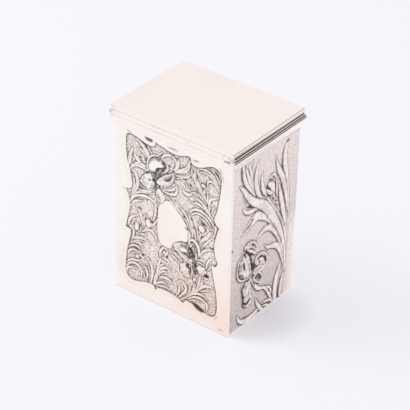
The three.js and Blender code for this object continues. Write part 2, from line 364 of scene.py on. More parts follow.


# %% [markdown]
# The same silver is given several tones. The lid is warm and clouded. The flares, the hinge
# and the plate's edges get lighter copies, a painted sheen for the white that their curves
# reflect, and the sides a cooler copy, painted for the cooler light that they reflect. The
# front goes from clean at the top left to a pinkish tone at the foot and on the right. The
# inside was never polished again, and the pin is a harder, greyer metal.

# %% Mix the silvers
WARM_SILVER = (0.992, 0.93, 0.855, 1)
COOL_SILVER = (0.96, 0.874, 0.795, 1)
SHEEN_SILVER = (1.0, 0.957, 0.9, 1)
CREAM_SILVER = (0.995, 0.93, 0.855, 1)
BRIGHT_SHEEN_SILVER = (0.99, 0.945, 0.91, 1)
PINKISH_SILVER = (1.0, 0.82, 0.73, 1)
CLEAN_SILVER = (1.0, 0.975, 0.905, 1)
SIDE_SHADED_SILVER = (0.995, 0.925, 0.885, 1)
UNTOUCHED_SILVER = (0.9, 0.83, 0.77, 1)
DIM_SILVER = (0.86, 0.78, 0.72, 1)
PIN_METAL = (0.82, 0.78, 0.74, 1)
DIM_PIN_METAL = (0.76, 0.72, 0.68, 1)

polished = silver("polished_silver", WARM_SILVER, COOL_SILVER, 0.26)
# A painted sheen: lighter copies of the silver for the flares, the hinge and the plate's edges.
sheen = silver("sheen_silver", SHEEN_SILVER, CREAM_SILVER, 0.2)
bright_sheen = silver("bright_sheen_silver", BRIGHT_SHEEN_SILVER, BRIGHT_SHEEN_SILVER, 0.16)
chased = silver(
    "chased_silver", CLEAN_SILVER, PINKISH_SILVER, 0.28, pits=0.5, across=4.0, upward=-8.0, start=0.15,
)
# Painted light: the sides get a cooler copy of the chased silver, for the cooler light they reflect.
chased_shaded_side = silver("chased_silver_shaded_side", SIDE_SHADED_SILVER, SIDE_SHADED_SILVER, 0.3, pits=0.24)
inside = silver("inside_silver", UNTOUCHED_SILVER, DIM_SILVER, 0.36)
wire_metal = silver("pin_metal", PIN_METAL, DIM_PIN_METAL, 0.3)
silvers = (polished, sheen, bright_sheen, chased, chased_shaded_side, inside, wire_metal)
print("finishes:", [material.name for material in silvers])

# %% [markdown]
# Every piece ends the same way: its mesh is scaled to metres, its edges that turn by more
# than a set angle stay crisp while the rest is shaded smooth, it is tied to the body that
# it moves with, and the solid that it stands for is hidden.

# %% Finish a piece
CRISP_ANGLE = math.radians(38)
bodies = frame["record"]["behaviour"]["bodies"]
BODY_OF = {node: name for name, nodes in bodies.items() for node in nodes}


def finish_piece(bm, node, material, crisp=CRISP_ANGLE):
    """Turns the bmesh into the piece that stands for the node of that name."""
    bmesh.ops.scale(bm, vec=(MM, MM, MM), verts=bm.verts)
    for face in bm.faces:
        face.smooth = True
    for edge in bm.edges:
        edge.smooth = not (len(edge.link_faces) == 2 and edge.calc_face_angle() > crisp)
    mesh = bpy.data.meshes.new(node + "_mesh")
    bm.to_mesh(mesh)
    bm.free()
    mesh.materials.append(material)
    piece = bpy.data.objects.new(node + "_finished", mesh)
    bpy.context.scene.collection.objects.link(piece)
    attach(piece, BODY_OF[node])
    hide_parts(node)
    print(piece.name, len(mesh.polygons), "faces")
    return piece


# %% [markdown]
# The four sides share their mouldings. Each is drawn with x along the side, y outwards
# from the wall's face and z up, and is then turned and moved to its side.

# %% Four sides
SIDES = {
    "back": (0.0, Vector((0, HALF_DEPTH, 0)), HALF_WIDTH),
    "left": (math.pi / 2, Vector((-HALF_WIDTH, 0, 0)), HALF_DEPTH),
    "front": (math.pi, Vector((0, -HALF_DEPTH, 0)), HALF_WIDTH),
    "right": (-math.pi / 2, Vector((HALF_WIDTH, 0, 0)), HALF_DEPTH),
}


def move_to_side(bm, side):
    angle, offset, _ = SIDES[side]
    bmesh.ops.rotate(bm, cent=(0, 0, 0), matrix=Matrix.Rotation(angle, 3, "Z"), verts=bm.verts)
    bmesh.ops.translate(bm, vec=offset, verts=bm.verts)


# %% [markdown]
# A moulding is a strip drawn through a shaped hole. Its section is a closed outline of
# points, each with its reach, its height and how dark it is, with tarnish and painted shade.
# The outline is extruded along the side through a few stations. A station is a function that
# takes the reach and the darkness of a point of the section, and gives its x, its reach and
# its darkness there.

# %% Draw a moulding


def draw_moulding(profile, stations):
    """Draws a section of (reach, height, darkness) points through the stations, as a bmesh."""
    bm = bmesh.new()
    order = bm.verts.layers.int.new("order")
    tarnish_and_shade = bm.verts.layers.float.new("tarnish_and_shade")
    ring = []
    for index, (reach, height, dark) in enumerate(profile):
        x, y, shown = stations[0](reach, dark)
        vert = bm.verts.new((x, y, height))
        vert[order] = index
        vert[tarnish_and_shade] = shown
        ring.append(vert)
    edges = [bm.edges.new((ring[i - 1], ring[i])) for i in range(len(ring))]
    bmesh.ops.contextual_create(bm, geom=edges)
    for station in stations[1:]:
        made = bmesh.ops.extrude_edge_only(bm, edges=edges)["geom"]
        edges = [item for item in made if isinstance(item, bmesh.types.BMEdge)]
        for vert in (item for item in made if isinstance(item, bmesh.types.BMVert)):
            reach, height, dark = profile[vert[order]]
            x, y, vert[tarnish_and_shade] = station(reach, dark)
            vert.co = (x, y, height)
    bmesh.ops.contextual_create(bm, geom=edges)
    bmesh.ops.recalc_face_normals(bm, faces=bm.faces)
    return bm


# %% [markdown]
# A square station cuts the moulding straight off. A mitred one leans at 45 degrees to meet
# the next side's, and the stations of a rounded end draw the section in, like a finger tip.

# %% Stations
END_ROUNDING = 0.7
END_STEPS = 6
LEAST_REACH = 0.1


def square(x, times=1.0):
    """A station straight across, where the section's darkness is that many times as strong."""
    return [lambda reach, dark: (x, reach, dark * times)]


def mitred(x, sign):
    return [lambda reach, dark: (x + sign * reach, reach, dark)]


def rounded_end(x, sign, full):
    """Stations where the grooves run out into a polished end and its reach is drawn in."""
    made = []
    for step in range(END_STEPS + 1):
        angle = math.pi / 2 * step / END_STEPS
        along = x - sign * END_ROUNDING * (1 - math.sin(angle))
        lost = END_ROUNDING * (1 - math.cos(angle))
        filled = math.sin(angle)
        made.append(lambda reach, dark, along=along, lost=lost, filled=filled: (
            along,
            max(LEAST_REACH, reach + (full - reach) * filled - lost) if reach > LEAST_REACH else reach,
            dark * (1 - filled),
        ))
    return made


# %% [markdown]
# The flared moulding carries the rim out past the walls. Its face is a straight slope that
# leaves the wall, and ends under the bead, in a short curve.

# %% Flared moulding
FLARE_STEPS = 24
FLARE_CURVE = 0.12
LEAST_SLOPE = 0.05


def flare_profile():
    rises = np.linspace(0, 1, FLARE_STEPS + 1)
    slopes = np.clip(np.minimum(rises, 1 - rises) / FLARE_CURVE, LEAST_SLOPE, 1)
    reaches = np.concatenate([[0], np.cumsum((slopes[1:] + slopes[:-1]) / 2)])
    points = [(-WALL, FLARE_TOP, 0.0), (-WALL, WALL_TOP, 0.0)]
    for rise, reach in zip(rises.tolist(), (reaches / reaches[-1] * FLARE_REACH).tolist()):
        points.append((reach, WALL_TOP + (FLARE_TOP - WALL_TOP) * rise, 0.0))
    return points


# The flares get the lighter silvers, a painted sheen: the front and back one copy, the left and right a lighter
# one still.
for side, (_, _, half_length) in SIDES.items():
    ends = half_length - JOINT_GAP
    flare = draw_moulding(flare_profile(), mitred(-ends, -1) + mitred(ends, 1))
    move_to_side(flare, side)
    finish_piece(flare, side + "_flare", sheen if side in ("front", "back") else bright_sheen)

# %% [markdown]
# Boxes start as a cube that is scaled, and their edges are bevelled afterwards.

# %% Boxes and soft edges


def block(corner_low, corner_high):
    """A box between two corners, as a bmesh."""
    bm = bmesh.new()
    bm.verts.layers.float.new("tarnish_and_shade")
    bmesh.ops.create_cube(bm, size=1)
    size = Vector(corner_high) - Vector(corner_low)
    bmesh.ops.scale(bm, vec=size, verts=bm.verts)
    bmesh.ops.translate(bm, vec=(Vector(corner_high) + Vector(corner_low)) / 2, verts=bm.verts)
    return bm


def soften(bm, edges, offset, segments):
    bmesh.ops.bevel(
        bm, geom=edges, offset=offset, segments=segments, profile=0.5, material=-1, affect="EDGES",
    )


# %% [markdown]
# Two beads meet where the lid shuts, one on the body and one on the lid. The grooves
# between them are where dirt and tarnish gather and where shade falls, so the section darkens
# them with both, and leaves a painted highlight along each bead's crest.

# %% The body's bead
BODY_BEAD = 1.05
BODY_GROOVE_REACH = 1.3
BODY_UNDERCUT = 0.1
BEAD_STEPS = 14
BEAD_DARK = 0.93
BODY_HIGHLIGHT = 0.42
HIGHLIGHT_LIFT = 0.7
HIGHLIGHT_EDGE = 0.76
HIGHLIGHT_SOFTNESS = 0.2


def bead(inner, outer, bottom, top, highlight):
    """Half a rod, dark with patina and painted shade but for a painted highlight along its crest."""
    points = []
    for i in range(BEAD_STEPS + 1):
        angle = math.pi * (i / BEAD_STEPS - 0.5)
        reach = inner + (outer - inner) * math.cos(angle)
        facing = math.cos(angle - HIGHLIGHT_LIFT)
        highlit = max(0.0, min(1.0, (facing - HIGHLIGHT_EDGE) / HIGHLIGHT_SOFTNESS))
        height = (bottom + top) / 2 + (top - bottom) / 2 * math.sin(angle)
        points.append((reach, height, BEAD_DARK - highlight * highlit))
    return points


def body_rim_profile():
    return [
        (-WALL, RIM_TOP, 0.6),
        (-WALL, FLARE_TOP, 0.2),
        (FLARE_REACH - JOINT_GAP, FLARE_TOP, 0.0),
        (FLARE_REACH - BODY_UNDERCUT, RIM_TOP - BODY_BEAD - JOINT_GAP, 0.9),
        *bead(BODY_GROOVE_REACH, RIM_REACH, RIM_TOP - BODY_BEAD, RIM_TOP, BODY_HIGHLIGHT),
    ]


# %% [markdown]
# The lid's rim has a thinner bead, a groove over it, and then a rounded shoulder up to the
# plate. Tarnish and painted shade fill the groove and thin out up the shoulder, which is
# painted darker low down, where it turns downward, and a little dark is back where the
# shoulder meets the plate.

# %% The lid's bead and shoulder
LID_BEAD = 0.75
LID_GROOVE = 0.2
LID_GROOVE_REACH = 0.8
LID_HIGHLIGHT = 0.62
SHOULDER_REACH = 1.0
SHOULDER_BULGE = 0.15
SHOULDER_STEPS = 12
SHOULDER_SHADE = 0.9
SHOULDER_SHADE_ENDS = 0.66
SHOULDER_SHADE_FALL = 1.7
TOP_DARK = 0.7
TOP_STEEPNESS = 6


def lid_rim_profile():
    bead_top = LID_BOTTOM + LID_BEAD
    shoulder = bead_top + LID_GROOVE
    points = [
        (-LID_INSET, PLATE_BOTTOM, 0.2),
        (-LID_INSET, LID_BOTTOM, 0.6),
        *bead(LID_GROOVE_REACH, LID_REACH, LID_BOTTOM, bead_top, LID_HIGHLIGHT),
        (LID_GROOVE_REACH, shoulder, 1.0),
    ]
    for i in range(SHOULDER_STEPS + 1):
        rise = i / SHOULDER_STEPS
        lean = LID_GROOVE_REACH + (SHOULDER_REACH - LID_GROOVE_REACH) * rise
        reach = lean + SHOULDER_BULGE * math.sin(math.pi * (0.1 + 0.9 * rise))
        dark = SHOULDER_SHADE * max(0.0, 1 - rise / SHOULDER_SHADE_ENDS) ** SHOULDER_SHADE_FALL
        dark += TOP_DARK * max(0.0, 1 - (1 - rise) * TOP_STEEPNESS)
        points.append((reach, shoulder + (PLATE_BOTTOM - shoulder) * rise, dark))
    return points


# %% [markdown]
# The rims are mitred at the back corners. At the hinge they end free, and each side of the
# lid ends in a short boss, round like the knuckles beside it: a cylinder in the same mesh.

# %% Rims on three sides
BOSS_RADIUS = 0.86
BOSS_EDGE = 0.2
BOSS_END_DARK = 0.45
BOSS_INNER_GAP = 0.05
BOSS_OUTER_GAP = 0.04


def rim_stations(side, full):
    half_length = SIDES[side][2] - JOINT_GAP
    if side == "back":
        return mitred(-half_length, -1) + mitred(half_length, 1)
    if side == "left":
        return list(reversed(rounded_end(-FRONT_END, -1, full))) + mitred(half_length, 1)
    return mitred(-half_length, -1) + rounded_end(FRONT_END, 1, full)


def hinge_boss(bm, sign):
    """Adds to the lid's rim the boss on its end; sign: -1 for the left side, 1 for the right."""
    first = high("body_knuckle_right").x + BOSS_INNER_GAP
    last = high("lid_rim_right").x - BOSS_OUTER_GAP
    made = bmesh.ops.create_cone(
        bm, cap_ends=True, segments=40, radius1=BOSS_RADIUS, radius2=BOSS_RADIUS, depth=last - first,
    )["verts"]
    bmesh.ops.rotate(bm, cent=(0, 0, 0), matrix=LYING, verts=made)
    bmesh.ops.translate(bm, vec=(sign * (first + last) / 2, HINGE.y, HINGE.z), verts=made)
    tarnish_and_shade = bm.verts.layers.float["tarnish_and_shade"]
    end = [vert for vert in made if abs(vert.co.x) > (first + last) / 2]
    # Its end face is darker.
    for vert in end:
        vert[tarnish_and_shade] = BOSS_END_DARK
    rim = {edge for vert in end for edge in vert.link_edges if edge.other_vert(vert) in end}
    soften(bm, list(rim), BOSS_EDGE, 4)


for side in ("back", "left", "right"):
    body_rim = draw_moulding(body_rim_profile(), rim_stations(side, RIM_REACH))
    move_to_side(body_rim, side)
    finish_piece(body_rim, "body_rim_" + side, polished)
    lid_rim = draw_moulding(lid_rim_profile(), rim_stations(side, LID_REACH))
    move_to_side(lid_rim, side)
    if side != "back":
        hinge_boss(lid_rim, -1 if side == "left" else 1)
    finish_piece(lid_rim, "lid_rim_" + side, polished)

# %% [markdown]
# The lid's plate is one flat sheet with soft edges. It starts as a box: the four upright
# corners are bevelled first, then the long edges all round. The faces of the edges get a
# second, brighter silver, as a painted highlight along them.

# %% Lid plate
PLATE_CORNER = 0.6
PLATE_EDGE = 0.3
LEVEL = 0.95


def rise(edge):
    return abs(edge.verts[0].co.z - edge.verts[1].co.z)


plate = block(low("lid_plate"), high("lid_plate"))
soften(plate, [edge for edge in plate.edges if rise(edge) > 0.1], PLATE_CORNER, 6)
soften(plate, [edge for edge in plate.edges if rise(edge) < 0.01], PLATE_EDGE, 4)
for face in plate.faces:
    face.material_index = int(abs(face.normal.z) < LEVEL)
lid = finish_piece(plate, "lid_plate", polished)
lid.data.materials.append(bright_sheen)

# %% [markdown]
# Inside, plain strips stand up past the rim for the lid to close over, and a sheet closes
# the bottom. Their edges are only broken with a file, so each is a box with a fine bevel.

# %% Bezel and base
FILED_EDGE = 0.12

for node in ("bezel_front", "bezel_back", "bezel_left", "bezel_right", "base_plate"):
    strip = block(low(node), high(node))
    soften(strip, list(strip.edges), FILED_EDGE, 2)
    finish_piece(strip, node, inside)

# %% [markdown]
# The hinge runs along the front, between the ends of the side rims. Two rails carry it,
# each a small L in section, drawn like a moulding. The left end of the body's rail is
# painted dark, as the shadow under the end of the hinge beside the boss.

# %% Hinge rails
RAIL_LEAF = 0.5
SEAT_GAP = 0.03
RAIL_SHADOW_END = 2.2
RAIL_SHADOW_GONE = 3.0
RAIL_SHADOW_TIMES = 20
RAIL_EDGE = 0.25
RAIL_TURN = 0.08
RAIL_SHADOW = 0.04
knuckle_radius = (high("body_knuckle_middle").y - low("body_knuckle_middle").y) / 2
rail_half = high("body_hinge_rail").x
rail_reach = -HALF_DEPTH - low("body_hinge_rail").y
rail_top = HINGE.z - knuckle_radius - SEAT_GAP
knuckle_back = -HALF_DEPTH - high("lid_hinge_rail").y + RAIL_LEAF

body_rail = draw_moulding([
    (rail_reach, FLARE_TOP, 0.0),
    (-WALL, FLARE_TOP, 0.0),
    (-WALL, RIM_TOP, 0.0),
    (knuckle_back, RIM_TOP, 0.0),
    (knuckle_back, rail_top, RAIL_SHADOW),
    (rail_reach - RAIL_EDGE, rail_top, RAIL_SHADOW),
    (rail_reach - RAIL_TURN, rail_top - RAIL_TURN, 0.875 * RAIL_SHADOW),
    (rail_reach, rail_top - RAIL_EDGE, 0.75 * RAIL_SHADOW),
], [
    *square(-rail_half, RAIL_SHADOW_TIMES),
    *square(-rail_half + RAIL_SHADOW_END, RAIL_SHADOW_TIMES),
    *square(-rail_half + RAIL_SHADOW_GONE, 0),
    *square(rail_half, 0),
])
move_to_side(body_rail, "front")
finish_piece(body_rail, "body_hinge_rail", sheen)

lid_rail_half = high("lid_hinge_rail").x
lid_rail_front = -HALF_DEPTH - low("lid_hinge_rail").y
lid_rail_low = HINGE.z + knuckle_radius + SEAT_GAP
lid_rail = draw_moulding([
    (lid_rail_front, lid_rail_low, 0.0),
    (knuckle_back, lid_rail_low, 0.0),
    (knuckle_back, LID_BOTTOM, 0.0),
    (knuckle_back - RAIL_LEAF, LID_BOTTOM, 0.0),
    (knuckle_back - RAIL_LEAF, PLATE_BOTTOM, 0.0),
    (lid_rail_front, PLATE_BOTTOM, 0.0),
], square(-lid_rail_half) + square(lid_rail_half))
move_to_side(lid_rail, "front")
finish_piece(lid_rail, "lid_hinge_rail", sheen)

# %% [markdown]
# Five short tubes turn on one pin. A tube starts as two circles. The outer one's points
# that face the rail are pulled to it, as the solder web, the two are bridged into a ring,
# and the ring is extruded.

# %% Knuckles
KNUCKLE_SIDES = 48
WEB_HALF = 0.65
WEB_SEAT = 0.6
BORE_RADIUS = 0.61
END_CHAMFER = 0.04


def knuckle(node):
    first, last = low(node).x, high(node).x
    foot = -1 if node.startswith("body") else 1
    foot_end = HINGE.z + foot * (knuckle_radius + SEAT_GAP * WEB_SEAT)
    bm = bmesh.new()
    bm.verts.layers.float.new("tarnish_and_shade")
    outer = bmesh.ops.create_circle(bm, segments=KNUCKLE_SIDES, radius=knuckle_radius)["verts"]
    inner = bmesh.ops.create_circle(bm, segments=KNUCKLE_SIDES, radius=BORE_RADIUS)["verts"]
    bmesh.ops.rotate(bm, cent=(0, 0, 0), matrix=LYING, verts=bm.verts)
    bmesh.ops.translate(bm, vec=(first, HINGE.y, HINGE.z), verts=bm.verts)
    for vert in outer:
        if abs(vert.co.y - HINGE.y) < WEB_HALF and (vert.co.z - HINGE.z) * foot > 0:
            vert.co.z = foot_end
    bmesh.ops.bridge_loops(bm, edges=bm.edges)
    made = bmesh.ops.extrude_face_region(bm, geom=list(bm.faces))["geom"]
    moved = [item for item in made if isinstance(item, bmesh.types.BMVert)]
    bmesh.ops.translate(bm, vec=(last - first, 0, 0), verts=moved)
    bmesh.ops.recalc_face_normals(bm, faces=bm.faces)
    rims = [
        e for e in bm.edges
        if abs(e.verts[0].co.x - e.verts[1].co.x) < 1e-4 and e.calc_face_angle(0) > 1
        and (e.verts[0].co.yz - HINGE.yz).length > BORE_RADIUS * 1.2
    ]
    soften(bm, rims, END_CHAMFER, 2)
    return bm


# The knuckles, like the rails, get a lighter silver: a painted sheen.
for node in sorted(frame["nodes"]):
    if "knuckle" in node:
        finish_piece(knuckle(node), node, sheen)

# %% [markdown]
# The pin is a plain wire, a cylinder with its ends filed round.

# %% Pin
PIN_END = 0.15

pin = bmesh.new()
pin.verts.layers.float.new("tarnish_and_shade")
pin_length = high("hinge_pin").x - low("hinge_pin").x
pin_radius = (high("hinge_pin").y - low("hinge_pin").y) / 2
bmesh.ops.create_cone(
    pin, cap_ends=True, segments=32, radius1=pin_radius, radius2=pin_radius, depth=pin_length,
)
bmesh.ops.rotate(pin, cent=(0, 0, 0), matrix=LYING, verts=pin.verts)
bmesh.ops.translate(pin, vec=(0, HINGE.y, HINGE.z), verts=pin.verts)
soften(pin, [edge for edge in pin.edges if edge.calc_face_angle(0) > 1], PIN_END, 3)
finish_piece(pin, "hinge_pin", wire_metal)

# %% [markdown]
# The walls are pressed and chased sheets: steel dies raised the leaves and flowers, and
# punches sharpened their edges and stippled the ground. No bevel makes such a form. Each
# wall is therefore a fine grid that is pushed in and out by a map of heights, and the map
# is built the way a chaser works, stroke by stroke over the ground. Every stroke follows a
# few given points, in mm: u to the right across the wall and v up it. So the first tool
# draws a smooth line through such points.

# %% Smooth lines through a few points
LINE_STEP = 0.12


def smooth(points, closed=False):
    """A Catmull-Rom line through the points, and where each of its samples lies among them."""
    knots = np.array(points, float)
    if closed:
        knots = np.vstack([knots[-1:], knots, knots[:2]])
    else:
        knots = np.vstack([2 * knots[0] - knots[1], knots, 2 * knots[-1] - knots[-2]])
    samples, places = [], []
    for index, (a, b, c, d) in enumerate(zip(knots, knots[1:], knots[2:], knots[3:])):
        count = max(2, round(float(np.linalg.norm(c - b)) / LINE_STEP))
        t = np.arange(count)[:, None] / count
        bend = (2 * a - 5 * b + 4 * c - d) * t ** 2 + (3 * b - a - 3 * c + d) * t ** 3
        samples.append((2 * b + (c - a) * t + bend) / 2)
        places.append(index + t[:, 0])
    if not closed:
        samples.append(knots[-2:-1])
        places.append([len(points) - 1])
    return np.vstack(samples), np.concatenate(places)


def loop(outline):
    """A smooth closed line through the points that keeps the shape on its left."""
    line, _ = smooth(outline, closed=True)
    x, y = line[:, 0], line[:, 1]
    turn = (x * np.roll(y, -1) - y * np.roll(x, -1)).sum()
    return line if turn > 0 else line[::-1]


# %% [markdown]
# A stroke's form depends only on how far a point lies from its line: across a leaf it is
# the way from the midrib, and in a petal the way in from the rim. One tool measures that
# for every point of the map, with a sign for the side, and another turns it into a slope.

# %% How far a point lies from a line


def beside(u, v, line, closed=False):
    """For each point of a grid: its offset to the left of a line, and the nearest sample."""
    best = np.full(np.broadcast(u, v).shape, np.inf)
    nearest = np.zeros(best.shape, int)
    for index, (x, y) in enumerate(line):
        gap = (u - x) ** 2 + (v - y) ** 2
        closer = gap < best
        best[closer] = gap[closer]
        nearest[closer] = index
    if closed:
        tangent = np.roll(line, -1, axis=0) - np.roll(line, 1, axis=0)
    else:
        tangent = np.gradient(line, axis=0)
    tangent /= np.linalg.norm(tangent, axis=1)[:, None]
    x, y = line[nearest, 0], line[nearest, 1]
    offset = tangent[nearest, 0] * (v - y) - tangent[nearest, 1] * (u - x)
    if not closed:
        past = (nearest == 0) | (nearest == len(line) - 1)
        offset = np.where(past, np.where(offset < 0, -1, 1) * np.sqrt(best), offset)
    return offset, nearest


def fade(x):
    """0 below 0 and 1 above 1, with an eased step between."""
    x = np.clip(x, 0, 1)
    return x * x * (3 - 2 * x)


# %% [markdown]
# A sheet keeps a few numbers for each point of its grid. A stroke covers what lies under
# it up to a soft edge, and sinks a dark groove round itself, as a tracing punch does; the
# groove's dark is patina and painted shade.

# %% A sheet of silver
EDGE_SOFTNESS = 0.24
GROOVE_WIDTH = 0.3
GROOVE_DEPTH = 0.1
GROOVE_DARK = 0.62


class Sheet:
    """A wall's face on a grid: its height from the plain face, and how it has aged.

    dark is how tarnished it is, together with its painted shade and painted dark reflections;
    steel is the blue-grey share of them, stipple where the punch marks are, and worked where it
    was chased at all and not left plain. level is how high its ground lies, and the last four
    say how its leaves and petals are raised.
    """

    def __init__(self, us, vs, level, leaf_lift, leaf_flat, petal_lift, petal_rim):
        self.us, self.vs, self.level = us, vs, level
        self.leaf_lift, self.leaf_flat = leaf_lift, leaf_flat
        self.petal_lift, self.petal_rim = petal_lift, petal_rim
        self.height = np.full((len(us), len(vs)), level)
        self.dark, self.cool_shade = np.zeros(self.height.shape), np.zeros(self.height.shape)
        self.stipple, self.worked = np.ones(self.height.shape), np.ones(self.height.shape)

    def window(self, points, margin):
        """The part of the grid round the points, and its u and v."""
        first, last = points.min(axis=0) - margin, points.max(axis=0) + margin
        i = slice(*np.searchsorted(self.us, (first[0], last[0])))
        j = slice(*np.searchsorted(self.vs, (first[1], last[1])))
        return (i, j), self.us[i, None], self.vs[None, j]

    def lay(self, part, depth, height, dark, worked=1.0):
        """Lays a stroke over the sheet; depth is how far a point lies inside its edge."""
        over = fade(0.5 + depth / EDGE_SOFTNESS / 2)
        beyond = np.exp(-(np.minimum(depth, 0) / GROOVE_WIDTH) ** 2) * (1 - over)
        kept = self.height[part] - GROOVE_DEPTH * beyond
        self.height[part] = kept * (1 - over) + height * over
        kept = np.maximum(self.dark[part], GROOVE_DARK * beyond)
        self.dark[part] = kept * (1 - over) + dark * over
        self.stipple[part] *= 1 - over
        self.cool_shade[part] *= 1 - over
        self.worked[part] = self.worked[part] * (1 - over) + worked * over

    def report(self, done):
        """Says how much of the ground is covered when a step is done."""
        bare = float((self.stipple * self.worked).mean())
        print(f"after {done}, {100 * (1 - bare):.1f} % of the ground is covered")


# %% [markdown]
# The die raises leaves and petals. A leaf is a tapering band with rounded ridges, scored
# along its veins. It lies highest where it is widest, and its edges are a little dark, with
# patina and painted shade.

# %% Leaves and stems
LEAF_EDGE = 0.45
LEAF_DARK = 0.42
SCORE_DEPTH = 0.02
SCORE_DARK = 0.13


class LeafSheet(Sheet):
    """A sheet on which a die raises leaves."""

    def leaf(self, points, widths, ridges=1, lift=None, veins=0):
        """A leaf or stem along the points, with so many ridges and scored veins."""
        lift = self.leaf_lift if lift is None else lift
        line, places = smooth(points)
        part, u, v = self.window(line, max(widths))
        offset, nearest = beside(u, v, line)
        at = np.linspace(0, len(points) - 1, len(widths))
        half = np.interp(places, at, widths)[nearest] / 2
        across = np.clip((offset / half + 1) / 2, 0, 1) * ridges
        crest = 1 - np.abs(np.cos(math.pi * across)) ** self.leaf_flat
        scored = np.maximum(0, np.cos(2 * math.pi * across * veins)) ** 6 * (veins > 0)
        full = np.sqrt(half / max(widths) * 2)
        height = self.level + lift * full * (LEAF_EDGE + (1 - LEAF_EDGE) * crest) - SCORE_DEPTH * scored
        dark = LEAF_DARK * (1 - crest) ** 1.8 + SCORE_DARK * scored
        self.lay(part, half - np.abs(offset), height, dark)


# %% [markdown]
# A petal is a closed shape with a rolled rim, domed or cupped inside it, with a frilled
# edge and fanning veins where the flower has them. Its outer wall and the troughs of its
# frills and veins are darkened with patina and painted shade.

# %% Petals
WALL_WIDTH = 0.3
BOWL_WIDTH = 1.1
RIM_PLACE = 0.4
RIM_WIDTH = 0.32
FLUTE_WIDTH = 1.3
PETAL_DARK = 0.5
FRILL_WIDTH = 0.13
FLUTE_HEIGHT = 0.07
FLUTE_DARK = 0.3
VEIN_HEIGHT = 0.05
VEIN_DARK = 0.17


class PetalSheet(LeafSheet):
    """A sheet on which a die raises petals too."""

    def petal(self, outline, lift=None, rim=None, cup=0.0, shade=0.0, veins=None, frill=0, lee=None):
        """A petal: cup hollows its middle, and shade darkens it.

        veins: (u, v, count), grooves that fan out from that point. frill: how many waves run
        round its edge. lee: (degrees, darkness), the side on which it gets a painted shade.
        """
        lift = self.petal_lift if lift is None else lift
        rim = self.petal_rim if rim is None else rim
        line = loop(outline)
        part, u, v = self.window(line, 1.0)
        depth, nearest = beside(u, v, line, closed=True)
        ripple = np.sin(nearest / len(line) * 2 * math.pi * frill)
        depth = depth + FRILL_WIDTH * ripple * (frill > 0)
        wall = 1 - np.exp(-np.maximum(depth, 0) / WALL_WIDTH)
        bowl = 1 - np.exp(-(np.maximum(depth, 0) / BOWL_WIDTH) ** 2)
        rolled = np.exp(-((depth - RIM_PLACE) / RIM_WIDTH) ** 2)
        height = self.level + lift * (0.5 + 0.5 * wall) + rim * rolled - cup * bowl
        dark = PETAL_DARK * (1 - wall) ** 2 + shade * bowl
        if frill:
            fluted = np.exp(-(depth / FLUTE_WIDTH) ** 2) * ripple
            height = height + FLUTE_HEIGHT * fluted
            dark = dark + FLUTE_DARK * np.maximum(-fluted, 0)
        if veins:
            wave = np.cos(np.arctan2(v - veins[1], u - veins[0]) * veins[2]) * bowl
            height = height + VEIN_HEIGHT * wave
            dark = dark + VEIN_DARK * np.maximum(-wave, 0) ** 2
        if lee:
            middle, reach = line.mean(axis=0), np.ptp(line, axis=0).max() / 2
            lean = math.radians(lee[0])
            towards = ((u - middle[0]) * math.cos(lean) + (v - middle[1]) * math.sin(lean)) / reach
            dark = dark + lee[1] * fade(towards + 0.15) * wall
        self.lay(part, depth, height, dark)


# %% [markdown]
# A bud is one small oval petal, and can lean any way.

# %% Buds
BUD_RIM = 0.02


class BudSheet(PetalSheet):
    """A sheet on which a die raises buds too."""

    def bud(self, middle, long, wide, turn, lift=None):
        """A small oval petal, turned by so many degrees from upright."""
        steps = np.arange(8) * math.pi / 4
        lean = math.radians(turn)
        x, y = np.sin(steps) * wide / 2, np.cos(steps) * long / 2
        turned = np.stack([x * math.cos(lean) - y * math.sin(lean),
                           x * math.sin(lean) + y * math.cos(lean)], axis=1)
        self.petal(turned + middle, lift, BUD_RIM)


# %% [markdown]
# The chaser then works from the front with punches: dents between the leaves, and the
# plain fields that are planished smooth. A dark patch is painted the same way, where the
# polished metal has to look dark: mostly a painted reflection of dark surroundings, in
# places painted shade.

# %% Hollows, painted dark patches and plain fields
ROLL_PLACE = 0.75
ROLL_WIDTH = 0.6
EDGE_WIDTH = 0.25
EDGE_FALL = 0.18
EDGE_DARK = 0.35


